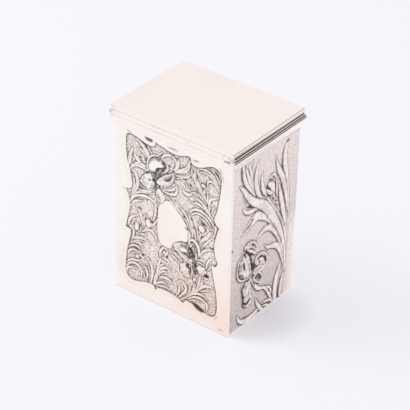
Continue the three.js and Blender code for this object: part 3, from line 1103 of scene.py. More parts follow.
class ChasedSheet(BudSheet):
    """A raised sheet that a chaser works on."""

    def hollow(self, middle, long, wide, turn, dark=0.8, depth=0.2, cool_shade=0.6):
        """A soft dent, dark at its bottom with patina and painted shade, in places a painted dark reflection."""
        centre = np.array([middle])
        part, u, v = self.window(centre, max(long, wide) * 1.3)
        lean = math.radians(turn)
        x, y = u - middle[0], v - middle[1]
        along = (y * math.cos(lean) - x * math.sin(lean)) / long * 2
        across = (x * math.cos(lean) + y * math.sin(lean)) / wide * 2
        dent = np.exp(-(along ** 2 + across ** 2) ** 1.5)
        self.height[part] -= depth * dent
        self.dark[part] = np.maximum(self.dark[part], dark * dent)
        self.cool_shade[part] = np.maximum(self.cool_shade[part], cool_shade * dent)
        self.stipple[part] *= 1 - dent

    def paint_dark_patch(self, outline, dark=0.95, cool_shade=0.8, soft=0.5, depth=0.06):
        """A patch painted dark that lies a little low: mostly a painted reflection of something dark round the
        polished metal, in places painted shade.
        """
        line = loop(outline)
        part, u, v = self.window(line, 1.0)
        inner, _ = beside(u, v, line, closed=True)
        share = fade(0.5 + inner / soft)
        self.height[part] -= depth * share
        self.dark[part] = self.dark[part] * (1 - share) + dark * share
        self.cool_shade[part] = self.cool_shade[part] * (1 - share) + cool_shade * share
        self.stipple[part] *= 1 - share

    def plain(self, outline, level, rim=0.0, inside=True):
        """A smooth field inside an outline, or all round it, with a rolled rim."""
        line = loop(outline) if inside else loop(outline)[::-1]
        part, u, v = self.window(line, 1.0 if inside else 2 * WALL_TOP)
        depth, _ = beside(u, v, line, closed=True)
        roll = np.exp(-((depth - ROLL_PLACE) / ROLL_WIDTH) ** 2)
        edge = np.exp(-np.maximum(depth, 0) / EDGE_WIDTH)
        height = level + rim * roll - EDGE_FALL * edge
        self.lay(part, depth, height, EDGE_DARK * edge ** 2, worked=0.0)


# %% [markdown]
# A map needs its grid first. The lines stand close together where the wall is chased. They
# also run round the soft upright edge at either end, as far as the mitre where the next
# wall begins.

# %% Lay out a wall's grid
FINE = 0.25
COARSE = 1.2
CORNER_RADIUS = 0.8
CORNER_STEPS = 5
CORNER_RUN = CORNER_RADIUS * math.pi / 4


def spread(first, last, pitch):
    return np.linspace(first, last, max(1, round((last - first) / pitch)) + 1)


def across(half_length, chased_half):
    """Where the grid's lines stand across a wall, fine over the chased part."""
    flat = half_length - JOINT_GAP - CORNER_RADIUS
    chased_part = spread(-min(chased_half, flat), min(chased_half, flat), FINE)
    edge = spread(flat, flat + CORNER_RUN, CORNER_RUN / CORNER_STEPS)[1:]
    if chased_half < flat:
        edge = np.concatenate([spread(chased_half, flat, COARSE)[1:], edge])
    return np.concatenate([-edge[::-1], chased_part, edge])


# %% [markdown]
# The front. A plain border swells and rolls down over the edge of a scalloped opening, like
# the frame of a looking glass. In the opening, leaves curl up from the foot and over from
# the sides round a plain reserve, with an iris above it on the left and another below it on
# the right. Buds and small blossoms fill the gaps, and the ground is stippled.

# %% The opening and the reserve
OPENING = [
    (-27.3, 84), (-27.1, 87.6), (-25.2, 89.2), (-21.5, 89), (-18, 88), (-15, 87.2), (-12, 87),
    (-10.3, 88.2), (-9.6, 90.2), (-8.6, 89.7), (-6, 89.2), (-3, 88.5), (0, 88), (3, 88.1),
    (6, 88.9), (8.8, 89.9), (10.2, 89.7), (10.7, 87.5), (12.3, 86.3), (15, 86.3), (18, 87.5),
    (21, 89), (24, 89.8), (26.6, 88.6), (27.8, 86), (27.9, 82), (27.3, 76), (26, 68),
    (24.4, 62.5), (25.6, 59.8), (27, 58.7), (26.2, 55.5), (25, 50), (24.9, 46), (25.6, 42),
    (26.9, 39.4), (26, 37.4), (24.1, 36.9), (23.8, 34.5), (25, 29), (26.5, 22), (27.2, 15),
    (26.8, 10.5), (25, 8), (22, 7.6), (18, 8.6), (13, 9.8), (9.5, 10.3), (8.2, 9.3), (7.2, 8.1),
    (5.5, 9), (3, 9.6), (0, 10.2), (-4, 10.3), (-7.8, 9.8), (-9.4, 8.2), (-10.5, 10.1),
    (-14, 10.2), (-18, 9), (-22, 8), (-25.2, 8.4), (-27.3, 11), (-27.6, 16), (-26.8, 24),
    (-25.5, 30), (-24.4, 35), (-25.5, 36.6), (-27.5, 37.1), (-27, 40), (-25.8, 45),
    (-24.9, 50), (-25.7, 55), (-27.3, 58.4), (-24.6, 59.4), (-23.6, 62), (-24.5, 68),
    (-26.5, 75), (-27.3, 80),
]
RESERVE = [
    (-8, 56), (-8.6, 50), (-8.8, 44), (-7.8, 38), (-6.2, 35.6), (-2, 35.2), (0, 36), (1.6, 39.4),
    (5, 42), (8, 42.8), (9.6, 44), (10, 48), (8.8, 52), (6, 56), (3.3, 59.6), (0, 61.6),
    (-3, 61.4), (-5.8, 59.3),
]
RESERVE_LEVEL = -0.1
print("opening", max(u for u, _ in OPENING) - min(u for u, _ in OPENING), "mm wide")

# %% [markdown]
# The front and the back were pressed in one pair of dies, so one map serves for both. The
# ground is sunk within the border, and the leaves stand high and round. The reserve is
# left plain, and comes first, because leaves lie over its edge.

# %% The front's map
CHASED_HALF = max(abs(u) for u, _ in OPENING) + 1.6

up_wall = spread(0, WALL_TOP, FINE)
front_map = ChasedSheet(
    across(HALF_WIDTH, CHASED_HALF), up_wall,
    level=-0.45, leaf_lift=0.55, leaf_flat=5, petal_lift=0.65, petal_rim=0.12,
)
leaf, petal, bud = front_map.leaf, front_map.petal, front_map.bud
hollow, paint_dark_patch = front_map.hollow, front_map.paint_dark_patch
front_map.plain(RESERVE, RESERVE_LEVEL)
front_map.report("the reserve")

# %% [markdown]
# Long leaves curl round at the left of the foot, and crescents lie above them round a
# small blossom. A later stroke covers an earlier one, so the lowest come first.

# %% The foot, on the left
leaf([(-27.2, 10.8), (-26.8, 13.3), (-24.6, 14.6), (-22, 15)], [0.8, 1.4, 1.3, 0.4])
leaf([(-27.3, 14.4), (-25, 17), (-22, 18), (-19.4, 17), (-18, 14.5), (-18.3, 11.6)],
     [0.8, 1.5, 1.7, 1.5, 0.5])
leaf([(-27.2, 16.6), (-24.6, 19.1), (-21, 20), (-18.7, 21.3), (-17.2, 23.6)], [0.7, 1.3, 1.3, 0.9, 0.5])
leaf([(-17.8, 19), (-15.4, 17.9), (-14.4, 15), (-14.9, 11.6)], [0.5, 1.4, 1.5, 0.5])
leaf([(-15.6, 20.4), (-13.3, 18.6), (-12.6, 15.2), (-13.4, 12)], [0.4, 0.9, 1, 0.5])
leaf([(-16.8, 24.6), (-14, 23.6), (-12, 20.6), (-11.3, 16.8), (-11.8, 13), (-13, 11.4)],
     [0.5, 1.3, 1.7, 1.4, 0.8])
leaf([(-17.4, 15.8), (-16.4, 13.8), (-16.8, 11.4)], [0.4, 0.9, 0.4])
bud((-12.2, 11.2), 1, 2.2, 8)
# Crescents above them, round a small blossom
leaf([(-26.5, 21.6), (-25.4, 24), (-23, 25.5), (-20.8, 25.6)], [0.6, 1.4, 1.4, 0.5])
leaf([(-25.7, 26), (-23.2, 28), (-20.5, 28.2), (-18, 26.4)], [0.6, 1.4, 1.4, 0.5])
leaf([(-25.2, 28.4), (-22.6, 30.2), (-19.2, 30.7), (-16.8, 29.2)], [0.5, 1.3, 1.4, 0.5])
leaf([(-24.2, 30.4), (-22.4, 32.6), (-18, 34), (-15, 33.9), (-12.3, 32.8)], [0.5, 1.5, 1.5, 1, 0.4])
leaf([(-23, 30.6), (-20.4, 32), (-17, 32.4)], [0.4, 0.9, 0.4])
leaf([(-23.3, 38.2), (-22.9, 34.8), (-24.2, 31.4)], [0.6, 1.6, 0.5])
bud((-20.6, 22.6), 2.6, 1.9, 30)
bud((-18.6, 23.9), 1.6, 2.6, -10)
bud((-16.9, 23.4), 1.3, 1.6, 30)
bud((-23.3, 23.4), 1, 2, -15, lift=0.5)
hollow((-20.6, 26.7), 1.4, 4.4, -8)
hollow((-17.2, 24.7), 1.2, 1.8, 0)
hollow((-19, 21.4), 1.2, 1.8, 25, 0.6)
front_map.report("the foot, on the left")

# %% [markdown]
# Short leaves rise from a broad stem towards the reserve. The hollows between them are
# punched last, as a chaser does, so that they sink every edge round them. A fan of blades
# follows. Each tapers almost to nothing at its tip, so its widths start and end small.

# %% The foot, in the middle and on the right
leaf([(-10.2, 11), (-7, 13.3), (-4.4, 14.3), (-1.2, 13.2)], [0.6, 1.2, 1.2, 0.4])
leaf([(-9.6, 10.8), (-6, 11.6), (-3.4, 12.2), (0.2, 11.2)], [0.5, 1, 1, 0.4])
leaf([(-7.4, 15.6), (-5, 17.2), (-2, 17.6), (1.2, 16)], [0.6, 1.6, 1.6, 0.5], 2)
leaf([(-8, 16.8), (-6.6, 19.2), (-4.6, 20.8), (-2.2, 21.2)], [0.5, 1.2, 1.2, 0.4])
leaf([(-8, 18), (-6.4, 21.3), (-3.6, 23.2), (0.2, 24)], [0.5, 1.4, 1.6, 0.4])
leaf([(-7.6, 20.4), (-6.2, 23.6), (-3.8, 25.4)], [0.5, 1.2, 0.4])
leaf([(-10, 11.4), (-9.2, 15.4), (-8.4, 19), (-7.6, 23.6), (-6.6, 27.4)], [1.8, 2, 1.6, 1.5, 0.8], 2)
leaf([(-7, 28.4), (-6.7, 31.4), (-5.4, 33.8), (-3, 34.6)], [0.8, 1.5, 1.4, 0.6])
leaf([(-4.3, 29), (-3.2, 31.4), (-1.8, 33.6)], [0.5, 1.4, 0.5])
leaf([(-5.6, 28.2), (-3.6, 28.5), (-1.8, 27.6), (-1.2, 25.8)], [0.5, 1.3, 1.2, 0.5])
bud((-4.5, 31.6), 2.2, 1.2, -20)
hollow((-2.8, 29.6), 1.6, 1.3, 0)
hollow((-6.6, 33.6), 2.4, 0.9, -30)
hollow((-9.1, 19), 2, 1, 10, 0.6)
hollow((0.3, 18.2), 0.9, 1.8, -25, 0.6)
hollow((-7.6, 29.2), 1.8, 1.1, 0, 0.55)
# The fan at the foot, on the right
leaf([(2.8, 10), (4.4, 12.6), (5, 15), (4.6, 17.4)], [0.6, 1.1, 1.3, 0.6])
leaf([(4.6, 9.8), (7, 13), (8.8, 15.8), (8.6, 18.2), (6.6, 19.8), (4, 19.4)], [0.6, 1.4, 1.7, 1.6, 0.4])
leaf([(5.8, 9.2), (9, 12), (10.9, 15.6), (11.1, 19), (10, 22.4)], [0.6, 1.2, 1.5, 1.3, 0.4])
leaf([(8.4, 11.2), (11.6, 15), (13.4, 18.6), (13.7, 22.2)], [0.6, 1.3, 1.5, 0.5])
leaf([(9.5, 12.2), (13, 16), (15.6, 19.4), (16.5, 23), (16.9, 27)], [0.6, 1.5, 2, 1.7, 0.8], 2)
leaf([(14.6, 17.2), (17, 20.6), (18.2, 24), (18.4, 27)], [0.5, 1.3, 1.4, 0.5])
leaf([(16.4, 19.2), (18.4, 22), (21, 23.6), (24.9, 23.9)], [0.5, 1.8, 1.9, 0.4])
leaf([(17.4, 19), (20, 20.6), (23.2, 21.4)], [0.5, 1.1, 0.3])
leaf([(10, 12.8), (13.4, 15.9), (17, 17.3), (20, 16.8), (21.9, 14.8)], [0.6, 1.4, 1.5, 1.1, 0.4])
leaf([(10, 11.3), (13, 13.7), (16.6, 14.9), (19.8, 14.4), (21.6, 12.3), (21.2, 9.4)],
     [0.6, 1.3, 1.6, 1.4, 0.5])
leaf([(11, 10.8), (13.6, 12.4), (17, 12.9)], [0.5, 1, 0.3])
front_map.report("the foot, in the middle and on the right")

# %% [markdown]
# From the opening's waist, arcs lead to the reserve, and small hooked leaves and two
# blossoms fill the space below them. A petal with a low rim is enough for a blossom.

# %% The waist, on the left
leaf([(-25, 53.2), (-22.6, 57.3), (-18.6, 59.9), (-14, 61.2), (-10.2, 62.2)], [0.6, 1.3, 1.4, 1.2, 0.6])
leaf([(-25.2, 51.6), (-22.7, 55.6), (-19, 57.8), (-14.4, 58.5), (-11, 57.7), (-8.2, 55.5)],
     [0.6, 1.4, 1.6, 1.5, 0.7])
leaf([(-24.6, 50), (-22.8, 52.7), (-20, 54.5), (-17.2, 55.3)], [0.6, 1.4, 1.2, 0.3])
leaf([(-20.4, 55.6), (-17.4, 56.9), (-14.6, 57)], [0.3, 0.7, 0.3])
leaf([(-9.9, 56), (-9.7, 52.6), (-10.3, 49.4), (-11.4, 46.6)], [1.2, 1.5, 1.3, 0.6])
leaf([(-8.5, 49), (-10.4, 45.4), (-13, 42.8), (-15.4, 40.8), (-17, 38.8)], [0.5, 1.2, 1.3, 1.2, 0.7])
leaf([(-15.4, 48.6), (-16.8, 46), (-16.5, 43.2), (-16, 41)], [0.4, 1.3, 1.3, 0.6])
leaf([(-22, 50.2), (-19.6, 49), (-18.3, 46.4), (-17.6, 43.4), (-17.2, 40.4)], [0.4, 1.3, 1.6, 1.3, 0.6])
leaf([(-20.6, 45.7), (-23.4, 44.4), (-25.3, 42), (-26.2, 38.8)], [0.4, 1.5, 1.7, 0.8])
leaf([(-20.8, 44.4), (-23, 42.6), (-23.8, 39.4)], [0.4, 1, 0.5])
leaf([(-18, 37.8), (-16, 39.2), (-13.4, 40.7), (-11.2, 40.2), (-9.6, 38.4), (-9, 35.8)],
     [0.6, 1.2, 1.4, 1.2, 0.6])
leaf([(-19.8, 35.6), (-17.4, 36.6), (-15, 36.9)], [0.5, 1.2, 0.4])
leaf([(-18.4, 41.6), (-18.6, 38.8)], [0.5, 0.9])
petal([(-15.8, 44.2), (-14.8, 46.4), (-13.2, 46.4), (-11.6, 44.6), (-12.4, 43), (-14.4, 42)], rim=0.05)
petal([(-22.1, 38.2), (-21.9, 41), (-20.5, 42), (-19.7, 40.6), (-19.7, 38.8), (-20.8, 37.2)], rim=0.05)
bud((-20.7, 35.9), 1.2, 1.5, 0)
bud((-14.2, 47.4), 1.5, 0.9, 15)
hollow((-19.1, 50.6), 1, 2.4, -25)
hollow((-13.5, 46.9), 0.9, 1.4, -25)
hollow((-12.2, 45.6), 0.8, 2, -15)
hollow((-19.1, 40.4), 2.6, 0.7, -5)
hollow((-17, 45.2), 2, 0.6, 0, 0.5)
hollow((-10.4, 42.2), 1, 2, 0, 0.4, 0.08)
front_map.report("the waist, on the left")

# %% [markdown]
# Over the left iris hangs a fan of grooved leaves, and a doubled one runs down the side.
# A stroke with two or three ridges gives such a leaf at once.

# %% The top, on the left
leaf([(-21.6, 88.3), (-18.2, 86.5), (-15.2, 83.8), (-13.9, 80.2)], [0.5, 2.4, 3.6, 1.6], 3)
leaf([(-14.6, 86.3), (-12.9, 84.2), (-12.2, 82.4)], [0.6, 1.3, 0.7])
leaf([(-20, 83.6), (-17.6, 82.6), (-15.3, 80.4)], [0.4, 1.4, 0.7])
leaf([(-23.4, 82), (-24.8, 78.2), (-25.4, 74.4), (-25.7, 71.2)], [0.5, 2, 1.9, 0.6], 2)
leaf([(-25.4, 69.8), (-22.6, 73.2), (-19, 74.5), (-15, 74)], [0.6, 2, 3.2, 3], 2)
leaf([(-24.4, 70.4), (-21.6, 68.6), (-20.5, 64.6), (-21.6, 60.6), (-24, 57)], [0.6, 1.6, 2.2, 2.2, 0.8], 2)
leaf([(-23.8, 68), (-22.7, 65), (-22.7, 61.4), (-24.2, 58.2)], [0.4, 1.1, 1.2, 0.6])
leaf([(-22.8, 79.6), (-20.6, 77), (-19.4, 76)], [0.5, 2.6, 1.4], lift=0.4)
bud((-17.2, 78.2), 1.3, 2, -30)
bud((-16.4, 77.1), 1.3, 2, 10)
hollow((-19.2, 78.6), 1.2, 1.6, 0)
hollow((-15.6, 79), 1.6, 0.9, 0, 0.6)
hollow((-15.4, 74.6), 2.6, 1, 10, 0.6)
hollow((-23, 74), 1.3, 2.2, 20, 0.6)
hollow((-24.3, 65.8), 3, 0.9, 20, 0.7)
paint_dark_patch([(-21, 88.9), (-17, 87.7), (-13.6, 84.7), (-12, 82.2), (-13.2, 82.7), (-15.4, 85.4), (-18.4, 87.1)],
      0.8, 0)
# The arcs that lead to the left iris from below
leaf([(-19.8, 60.4), (-16, 61.7), (-12.8, 62.6), (-10.6, 64.6)], [0.5, 1.1, 1.2, 0.7])
leaf([(-18.9, 62.6), (-16, 63), (-12.8, 63.6), (-10.9, 65.6)], [0.5, 0.9, 0.9, 0.5])
bud((-19.4, 60.8), 0.9, 1.5, 25)
hollow((-18.4, 62.2), 1.1, 1.1, 0)
front_map.report("the top, on the left")

# %% [markdown]
# The flower faces the viewer. Its petals are laid from the back to the front, and their
# veins fan out from the throat, the way the real ones are drawn with a tracing punch.

# %% The left iris
leaf([(-14.6, 73.8), (-14.6, 77.8), (-13, 81.2), (-10.4, 82.9), (-7.8, 83)], [0.7, 1.1, 1.2, 1.1, 0.6])
leaf([(-9, 83.2), (-7.6, 84.6), (-6, 86.3)], [0.5, 0.9, 0.4])
leaf([(-6.6, 81.8), (-5.4, 84.4), (-2, 86.2), (1, 85.6), (2.4, 83.2), (1.7, 80.6), (0.2, 79.2)],
     [0.6, 1.4, 1.5, 1.3, 0.7])
petal([(-13.5, 75), (-13.8, 77.6), (-12.8, 80.2), (-10.8, 81.7), (-8.4, 82), (-6.2, 81.2), (-4.8, 79.8),
       (-5.6, 78.2), (-8, 77.2), (-9.4, 75.8), (-10, 74.2), (-12, 73.6)], lift=0.85, rim=0.1, cup=0.06,
      lee=(125, 0.2))
petal([(-9.6, 71.6), (-9.4, 74.6), (-7.6, 77), (-5, 78), (-2, 78.6), (-4, 76), (-6.6, 74.2), (-8, 71.8)],
      lift=0.5, rim=0.14, cup=0.3, shade=0.45, veins=(-9.6, 70.6, 22))
petal([(-9.2, 69.6), (-7.8, 71.6), (-6.2, 73.3), (-4, 74.8), (-1.6, 76), (0.6, 78), (1.4, 75.8), (0.6, 72.8),
       (-1, 70.4), (-3.4, 68.8), (-6.4, 68.2), (-8.6, 68.6)], lift=0.8, rim=0.14, cup=0.1, veins=(-10, 68.4,
       20))
petal([(-14.9, 71.6), (-13, 72.4), (-11.4, 71), (-10.4, 69), (-10.5, 66.6), (-11.4, 64.8), (-13.4, 63.8),
       (-16, 63.9), (-18.2, 65), (-18.8, 66.8), (-17.8, 69), (-16.2, 70.8)], lift=0.85, rim=0.12, cup=0.08,
      veins=(-10.4, 71.4, 15), frill=9, lee=(215, 0.25))
petal([(-9.3, 64.6), (-8, 66), (-6, 64.8), (-4.2, 62.8), (-4.6, 60.4), (-6.4, 58.6), (-8.4, 58.9),
       (-9.5, 61.6)], lift=0.5, rim=0.1, cup=0.05, veins=(-8, 66.4, 11), lee=(225, 0.35))
bud((-6.3, 67.4), 1.5, 1.4, 30)
bud((-5.1, 65.8), 1.4, 1, 20)
front_map.report("the left iris")

# %% [markdown]
# Polished domes mirror what is dark round them, and the set is white all round. So the dark
# reflections are painted on, patch by patch, and thin raised lines stay bright between them.

# %% Dark reflections in the left iris
paint_dark_patch([(-13.3, 78.2), (-12.9, 80.2), (-11.3, 81.6), (-9, 82), (-7.2, 81.5), (-7.4, 80.8), (-9.2, 81),
       (-11, 80.4), (-12.2, 79.2), (-12.6, 77.9)], 0.7, 1, soft=0.4)
leaf([(-12.9, 78.8), (-11.8, 80.5), (-10, 81.4), (-8, 81.3)], [0.2, 0.4, 0.4, 0.2], lift=0.95)
paint_dark_patch([(-6.2, 80.8), (-5.2, 81.2), (-4.3, 80.4), (-4.6, 79.7), (-5.7, 80.1)], cool_shade=0.3)
paint_dark_patch([(-9.9, 75.4), (-8.7, 76.9), (-6.4, 77.7), (-5.6, 77.2), (-7.5, 76.3), (-8.8, 75)], 0.85, 0.5)
paint_dark_patch([(-12.3, 74.2), (-11.2, 74.9), (-9.8, 74.4), (-9.4, 72.8), (-10.2, 71.6), (-11.6, 72.2)], 0.6, 0)
paint_dark_patch([(-9.5, 70.8), (-9.6, 74), (-8.2, 76.2), (-6.2, 77.6), (-4, 78.3), (-4.8, 76.4), (-6.4, 74.4),
       (-7.8, 71.8)], 0.86, 1)
leaf([(-8.7, 71.8), (-8.4, 74.2), (-6.4, 76.4)], [0.2, 0.4, 0.2], lift=0.6)
paint_dark_patch([(-5.4, 72.2), (-4.6, 73.4), (-3, 74.7), (-1, 76.1), (0.7, 77.4), (1, 76.6), (-0.6, 75), (-2.6, 73.6),
       (-4.2, 72.2)], 0.5, 0.8, soft=0.6)
leaf([(-6.8, 71), (-5.8, 73), (-4, 74.6), (-1.6, 76), (0.4, 77.6)], [0.4, 0.7, 0.7, 0.7, 0.4], lift=0.98)
paint_dark_patch([(-4.6, 71.9), (-3.4, 73), (-1.8, 74.3), (-0.4, 75.5), (0.5, 76), (0.3, 74.7), (-0.8, 73.2),
       (-2.4, 72)], 0.86, 0.9, soft=0.6)
paint_dark_patch([(-6.4, 69), (-3.4, 69.4), (-0.8, 71.2), (0.6, 73.4), (0.2, 73.6), (-1.2, 71.8), (-3.4, 70.2),
       (-6.2, 69.6)], 0.32, 0.3, soft=0.7)
paint_dark_patch([(-18.5, 65.7), (-17.4, 65.4), (-16.5, 64.2), (-17.2, 63.6), (-18.4, 64.4)], cool_shade=0.5)
paint_dark_patch([(-18, 68.2), (-16.2, 69.6), (-15.4, 68.2), (-16.6, 66.4), (-17.9, 66.8)], 0.25, 1, soft=0.9)
paint_dark_patch([(-12.2, 64.6), (-10.9, 66.2), (-11.1, 68.4), (-12, 67.2)], 0.3, 1, soft=0.9)
paint_dark_patch([(-11.5, 70.4), (-10.6, 70.2), (-10.2, 69.2), (-11, 69)], cool_shade=0.3)
paint_dark_patch([(-14.2, 69), (-12.6, 69.6), (-11.8, 69.3), (-12.9, 68.6)], 0.85, 0.3, soft=0.35)
paint_dark_patch([(-10.1, 69.4), (-9, 69.6), (-8.7, 67), (-9.1, 64.6), (-9.9, 63.6), (-10.6, 64.8), (-10.3, 66.8)],
      0.66, 1, soft=0.8)
paint_dark_patch([(-8.1, 67.7), (-6.9, 67.2), (-7.1, 65.9), (-8.1, 66.3)], 0.9, 0.2)
paint_dark_patch([(-9, 62.2), (-8.3, 60.2), (-6.6, 59.2), (-6.8, 60.6), (-7.7, 62.4), (-8.7, 64)], 0.6, 0.8)
front_map.report("dark reflections in the left iris")

# %% [markdown]
# Stems swing up from the iris to the opening's middle, beside a blossom and a long blade.

# %% The top, in the middle
leaf([(1.2, 78.4), (4, 80), (7.4, 81.9), (9.2, 84.4), (9.8, 88)], [0.6, 2.2, 2.8, 2, 0.6], 2)
leaf([(1.4, 79.6), (3.1, 82.4), (3.4, 86.4)], [0.8, 1.7, 0.7])
leaf([(2.2, 77), (5.4, 77.6), (8.2, 78.4), (10.6, 80.6)], [0.5, 1.3, 1.2, 0.5])
leaf([(-3.2, 80.4), (-2.8, 78), (-4.2, 76.2)], [0.9, 1.2, 0.5])
leaf([(-5, 66.6), (-1.8, 67.4), (0.8, 69), (2, 71)], [0.6, 1.1, 1.2, 0.5])
leaf([(-6, 65.8), (-2, 65.4), (1.4, 66.4), (2.8, 69.2), (2.4, 72)], [0.5, 1.1, 1.5, 1.3, 0.5])
hollow((-0.4, 86.4), 0.9, 1.8, 0)
hollow((3, 86.2), 1, 1.8, 0)
hollow((-2, 80.3), 1.1, 2, -15, 0.7)
# A small blossom, and the long blade beside it
leaf([(2.6, 75.6), (5, 76.5), (7.6, 75.3), (8.8, 73)], [0.5, 0.9, 0.9, 0.5])
leaf([(6, 71.8), (7, 70), (9, 69.6), (10.8, 70.4), (11.6, 72)], [0.5, 1.7, 2, 1.7, 0.5])
leaf([(8.8, 75.6), (11, 74), (14, 73.4)], [0.5, 1.1, 0.4])
leaf([(11.6, 71.2), (13, 72.2), (14.6, 71.4)], [0.5, 1, 0.4])
leaf([(13, 84.2), (13, 80.6), (14.9, 76.8), (17.4, 73.4), (20.2, 69.8)], [0.5, 2.4, 2.4, 1.8, 1], 2)
leaf([(10.8, 84), (11.4, 80.6), (12, 78.4)], [0.5, 1.1, 0.5], lift=0.4)
leaf([(14.4, 72.4), (16.6, 71.4), (19.6, 68.6)], [0.4, 1.3, 0.6])
bud((17.8, 77.9), 2, 2.5, -20)
bud((18.4, 74.8), 2.8, 1.2, -8)
bud((5.3, 76.9), 0.9, 1.5, 0)
hollow((14, 80.6), 4, 0.9, 5, 0.85, 0.18)
hollow((19.3, 78.6), 2.6, 0.9, 0, 0.8)
hollow((10.6, 74.8), 2.2, 1.2, 30, 0.6)
hollow((7.8, 77.2), 1.1, 1.8, 0, 0.7)
hollow((14.2, 72.8), 1, 1.1, 0, 0.7)
hollow((10.2, 86), 1.6, 1, 0, 0.7)
front_map.report("the top, in the middle")

# %% [markdown]
# A fan follows the opening's rounded corner, one arc inside the other. Under it two arcs
# bend over a bud, and leaves droop from the opening's edge.

# %% The right side, from the top to the waist
leaf([(14.4, 85.5), (18, 86.4), (21.5, 86), (24.5, 83.9), (26.9, 80.2)], [0.4, 1, 1.3, 1.2, 0.5])
leaf([(15.4, 84.2), (19, 84.9), (22, 84.2), (24.8, 81.9), (27, 78.6)], [0.4, 1, 1.4, 1.2, 0.5])
leaf([(21.4, 87.8), (24, 86.8), (26.2, 84.2), (27.4, 81.4)], [0.4, 1, 1.1, 0.4])
leaf([(24.4, 88.8), (26.6, 87), (27.5, 84)], [0.4, 0.9, 0.4])
leaf([(19.9, 78.6), (20.5, 80.9), (22.6, 81.8), (24.9, 80.6), (26.7, 78)], [0.5, 1.2, 1.3, 1.1, 0.4])
leaf([(26.6, 74.8), (24, 73.3), (22, 71.8), (21.2, 69), (21.6, 65.4)], [0.4, 1.3, 1.7, 1.4, 0.6])
leaf([(20.4, 75.4), (20.4, 72), (21, 68.6)], [0.5, 1.1, 0.5])
leaf([(25, 69.4), (23.6, 67.6), (22.6, 64.6)], [0.4, 1.1, 0.5])
leaf([(13, 69.4), (16, 68.9), (19, 67.2), (22.2, 64.4)], [0.4, 1.2, 1.4, 0.6])
leaf([(9.4, 66.8), (12.2, 66.4), (15, 66.8), (18.6, 66), (21.6, 64), (24, 61.2)], [0.4, 1.2, 1.5, 1.3, 0.6])
hollow((24.7, 86.6), 2.6, 0.8, 45, 0.7)
# The arcs over the right bud, and the leaves below it
leaf([(10, 60.2), (12.4, 62.6), (15.6, 63.7), (19.2, 63), (22.6, 60.7), (25.3, 57)],
     [0.6, 1.4, 1.5, 1.5, 0.7])
leaf([(11.4, 59.4), (13.8, 61.4), (16.8, 61.8), (20.2, 60.3), (23.3, 57.2)], [0.5, 1.1, 1.3, 1.2, 0.5])
leaf([(16.4, 59.8), (19, 59.2), (21.4, 57.2), (23, 55.4)], [0.4, 1.1, 1.1, 0.5])
leaf([(25.4, 59), (25.3, 56), (24.4, 52.6)], [0.6, 1.3, 0.5])
leaf([(16.3, 45.6), (18.3, 48.6), (20.6, 50.8), (22.4, 54.4)], [0.6, 1.8, 2, 0.8], 2)
leaf([(16.2, 46.8), (16.3, 49.4), (17.4, 51.6)], [0.5, 1.2, 0.5])
leaf([(24.4, 52.4), (22, 49.8), (19.4, 46.4), (17.4, 43)], [0.4, 1.1, 1.2, 0.5])
leaf([(24.9, 45.2), (21.4, 44.2), (18.6, 42.2), (16.6, 38.8)], [0.4, 1.3, 1.5, 0.7])
leaf([(24.8, 40.4), (22.4, 39), (21, 36.4), (20.4, 33.4)], [0.5, 1.3, 1.4, 0.6])
leaf([(24, 36.6), (22.8, 34.8), (21.4, 32.6)], [0.5, 1.1, 0.5])
petal([(15.6, 54.8), (16.6, 55.9), (18.6, 55.6), (19.3, 54.2), (18.6, 52.7), (17.2, 52.5), (16, 53.4)],
      rim=0.04)
bud((16.3, 57.6), 2.2, 1, -5)
hollow((18.1, 57), 1.6, 2.8, -20, 0.85, 0.2)
hollow((19.5, 54.6), 2.4, 0.8, 10, 0.6)
hollow((15.6, 44.9), 1.4, 1.3, 0, 0.85)
hollow((23, 45.9), 0.9, 3.2, -5, 0.7)
hollow((17.6, 49.6), 2.2, 0.8, -30, 0.6)
front_map.report("the right side, from the top to the waist")

# %% [markdown]
# Narrow leaves run down beside the reserve and lie over its edge, so they come after it.

# %% The reserve's right edge
leaf([(-4.4, 63.8), (-1.6, 62.8), (1.4, 60.8), (4.6, 57.4)], [0.5, 1, 1.1, 0.5])
leaf([(-1, 64.4), (2, 62), (4.6, 58.8), (8, 55.6), (9.9, 51.6)], [0.5, 1.2, 1.5, 1.3, 0.6])
leaf([(2.4, 62.6), (5.6, 60.3), (8.4, 57.6), (10.5, 54), (11.2, 49.6)], [0.5, 1.1, 1.4, 1.4, 0.6])
leaf([(8.6, 59.8), (10.7, 57), (11.9, 53.8), (12.2, 50.4), (11.9, 47.2)], [0.5, 1.2, 1.4, 1.3, 0.6])
leaf([(9.4, 51), (10.5, 48.4), (10.3, 45), (9.8, 42.6)], [0.5, 1.1, 1.2, 0.6])
leaf([(13, 53.4), (13.5, 50.2), (14.4, 46.8)], [0.5, 1.3, 0.6])
leaf([(14.8, 53), (15.2, 50), (15.4, 46.8)], [0.5, 1, 0.5])
hollow((7.6, 56.7), 1, 3, -30, 0.8)
hollow((9, 50.7), 1.1, 2.6, -28, 0.85, 0.15)
hollow((12.9, 53), 1, 1.9, -15, 0.8)
hollow((9, 58.4), 1, 2.6, -40, 0.7)
hollow((11.4, 57.2), 2.4, 0.8, 30, 0.7)
hollow((4.4, 58), 1.4, 1.2, 0, 0.5)
front_map.report("the reserve's right edge")

# %% [markdown]
# This flower is seen from the side: a wide hood, a fall at either hand and the stem
# between them, with small leaves round it.

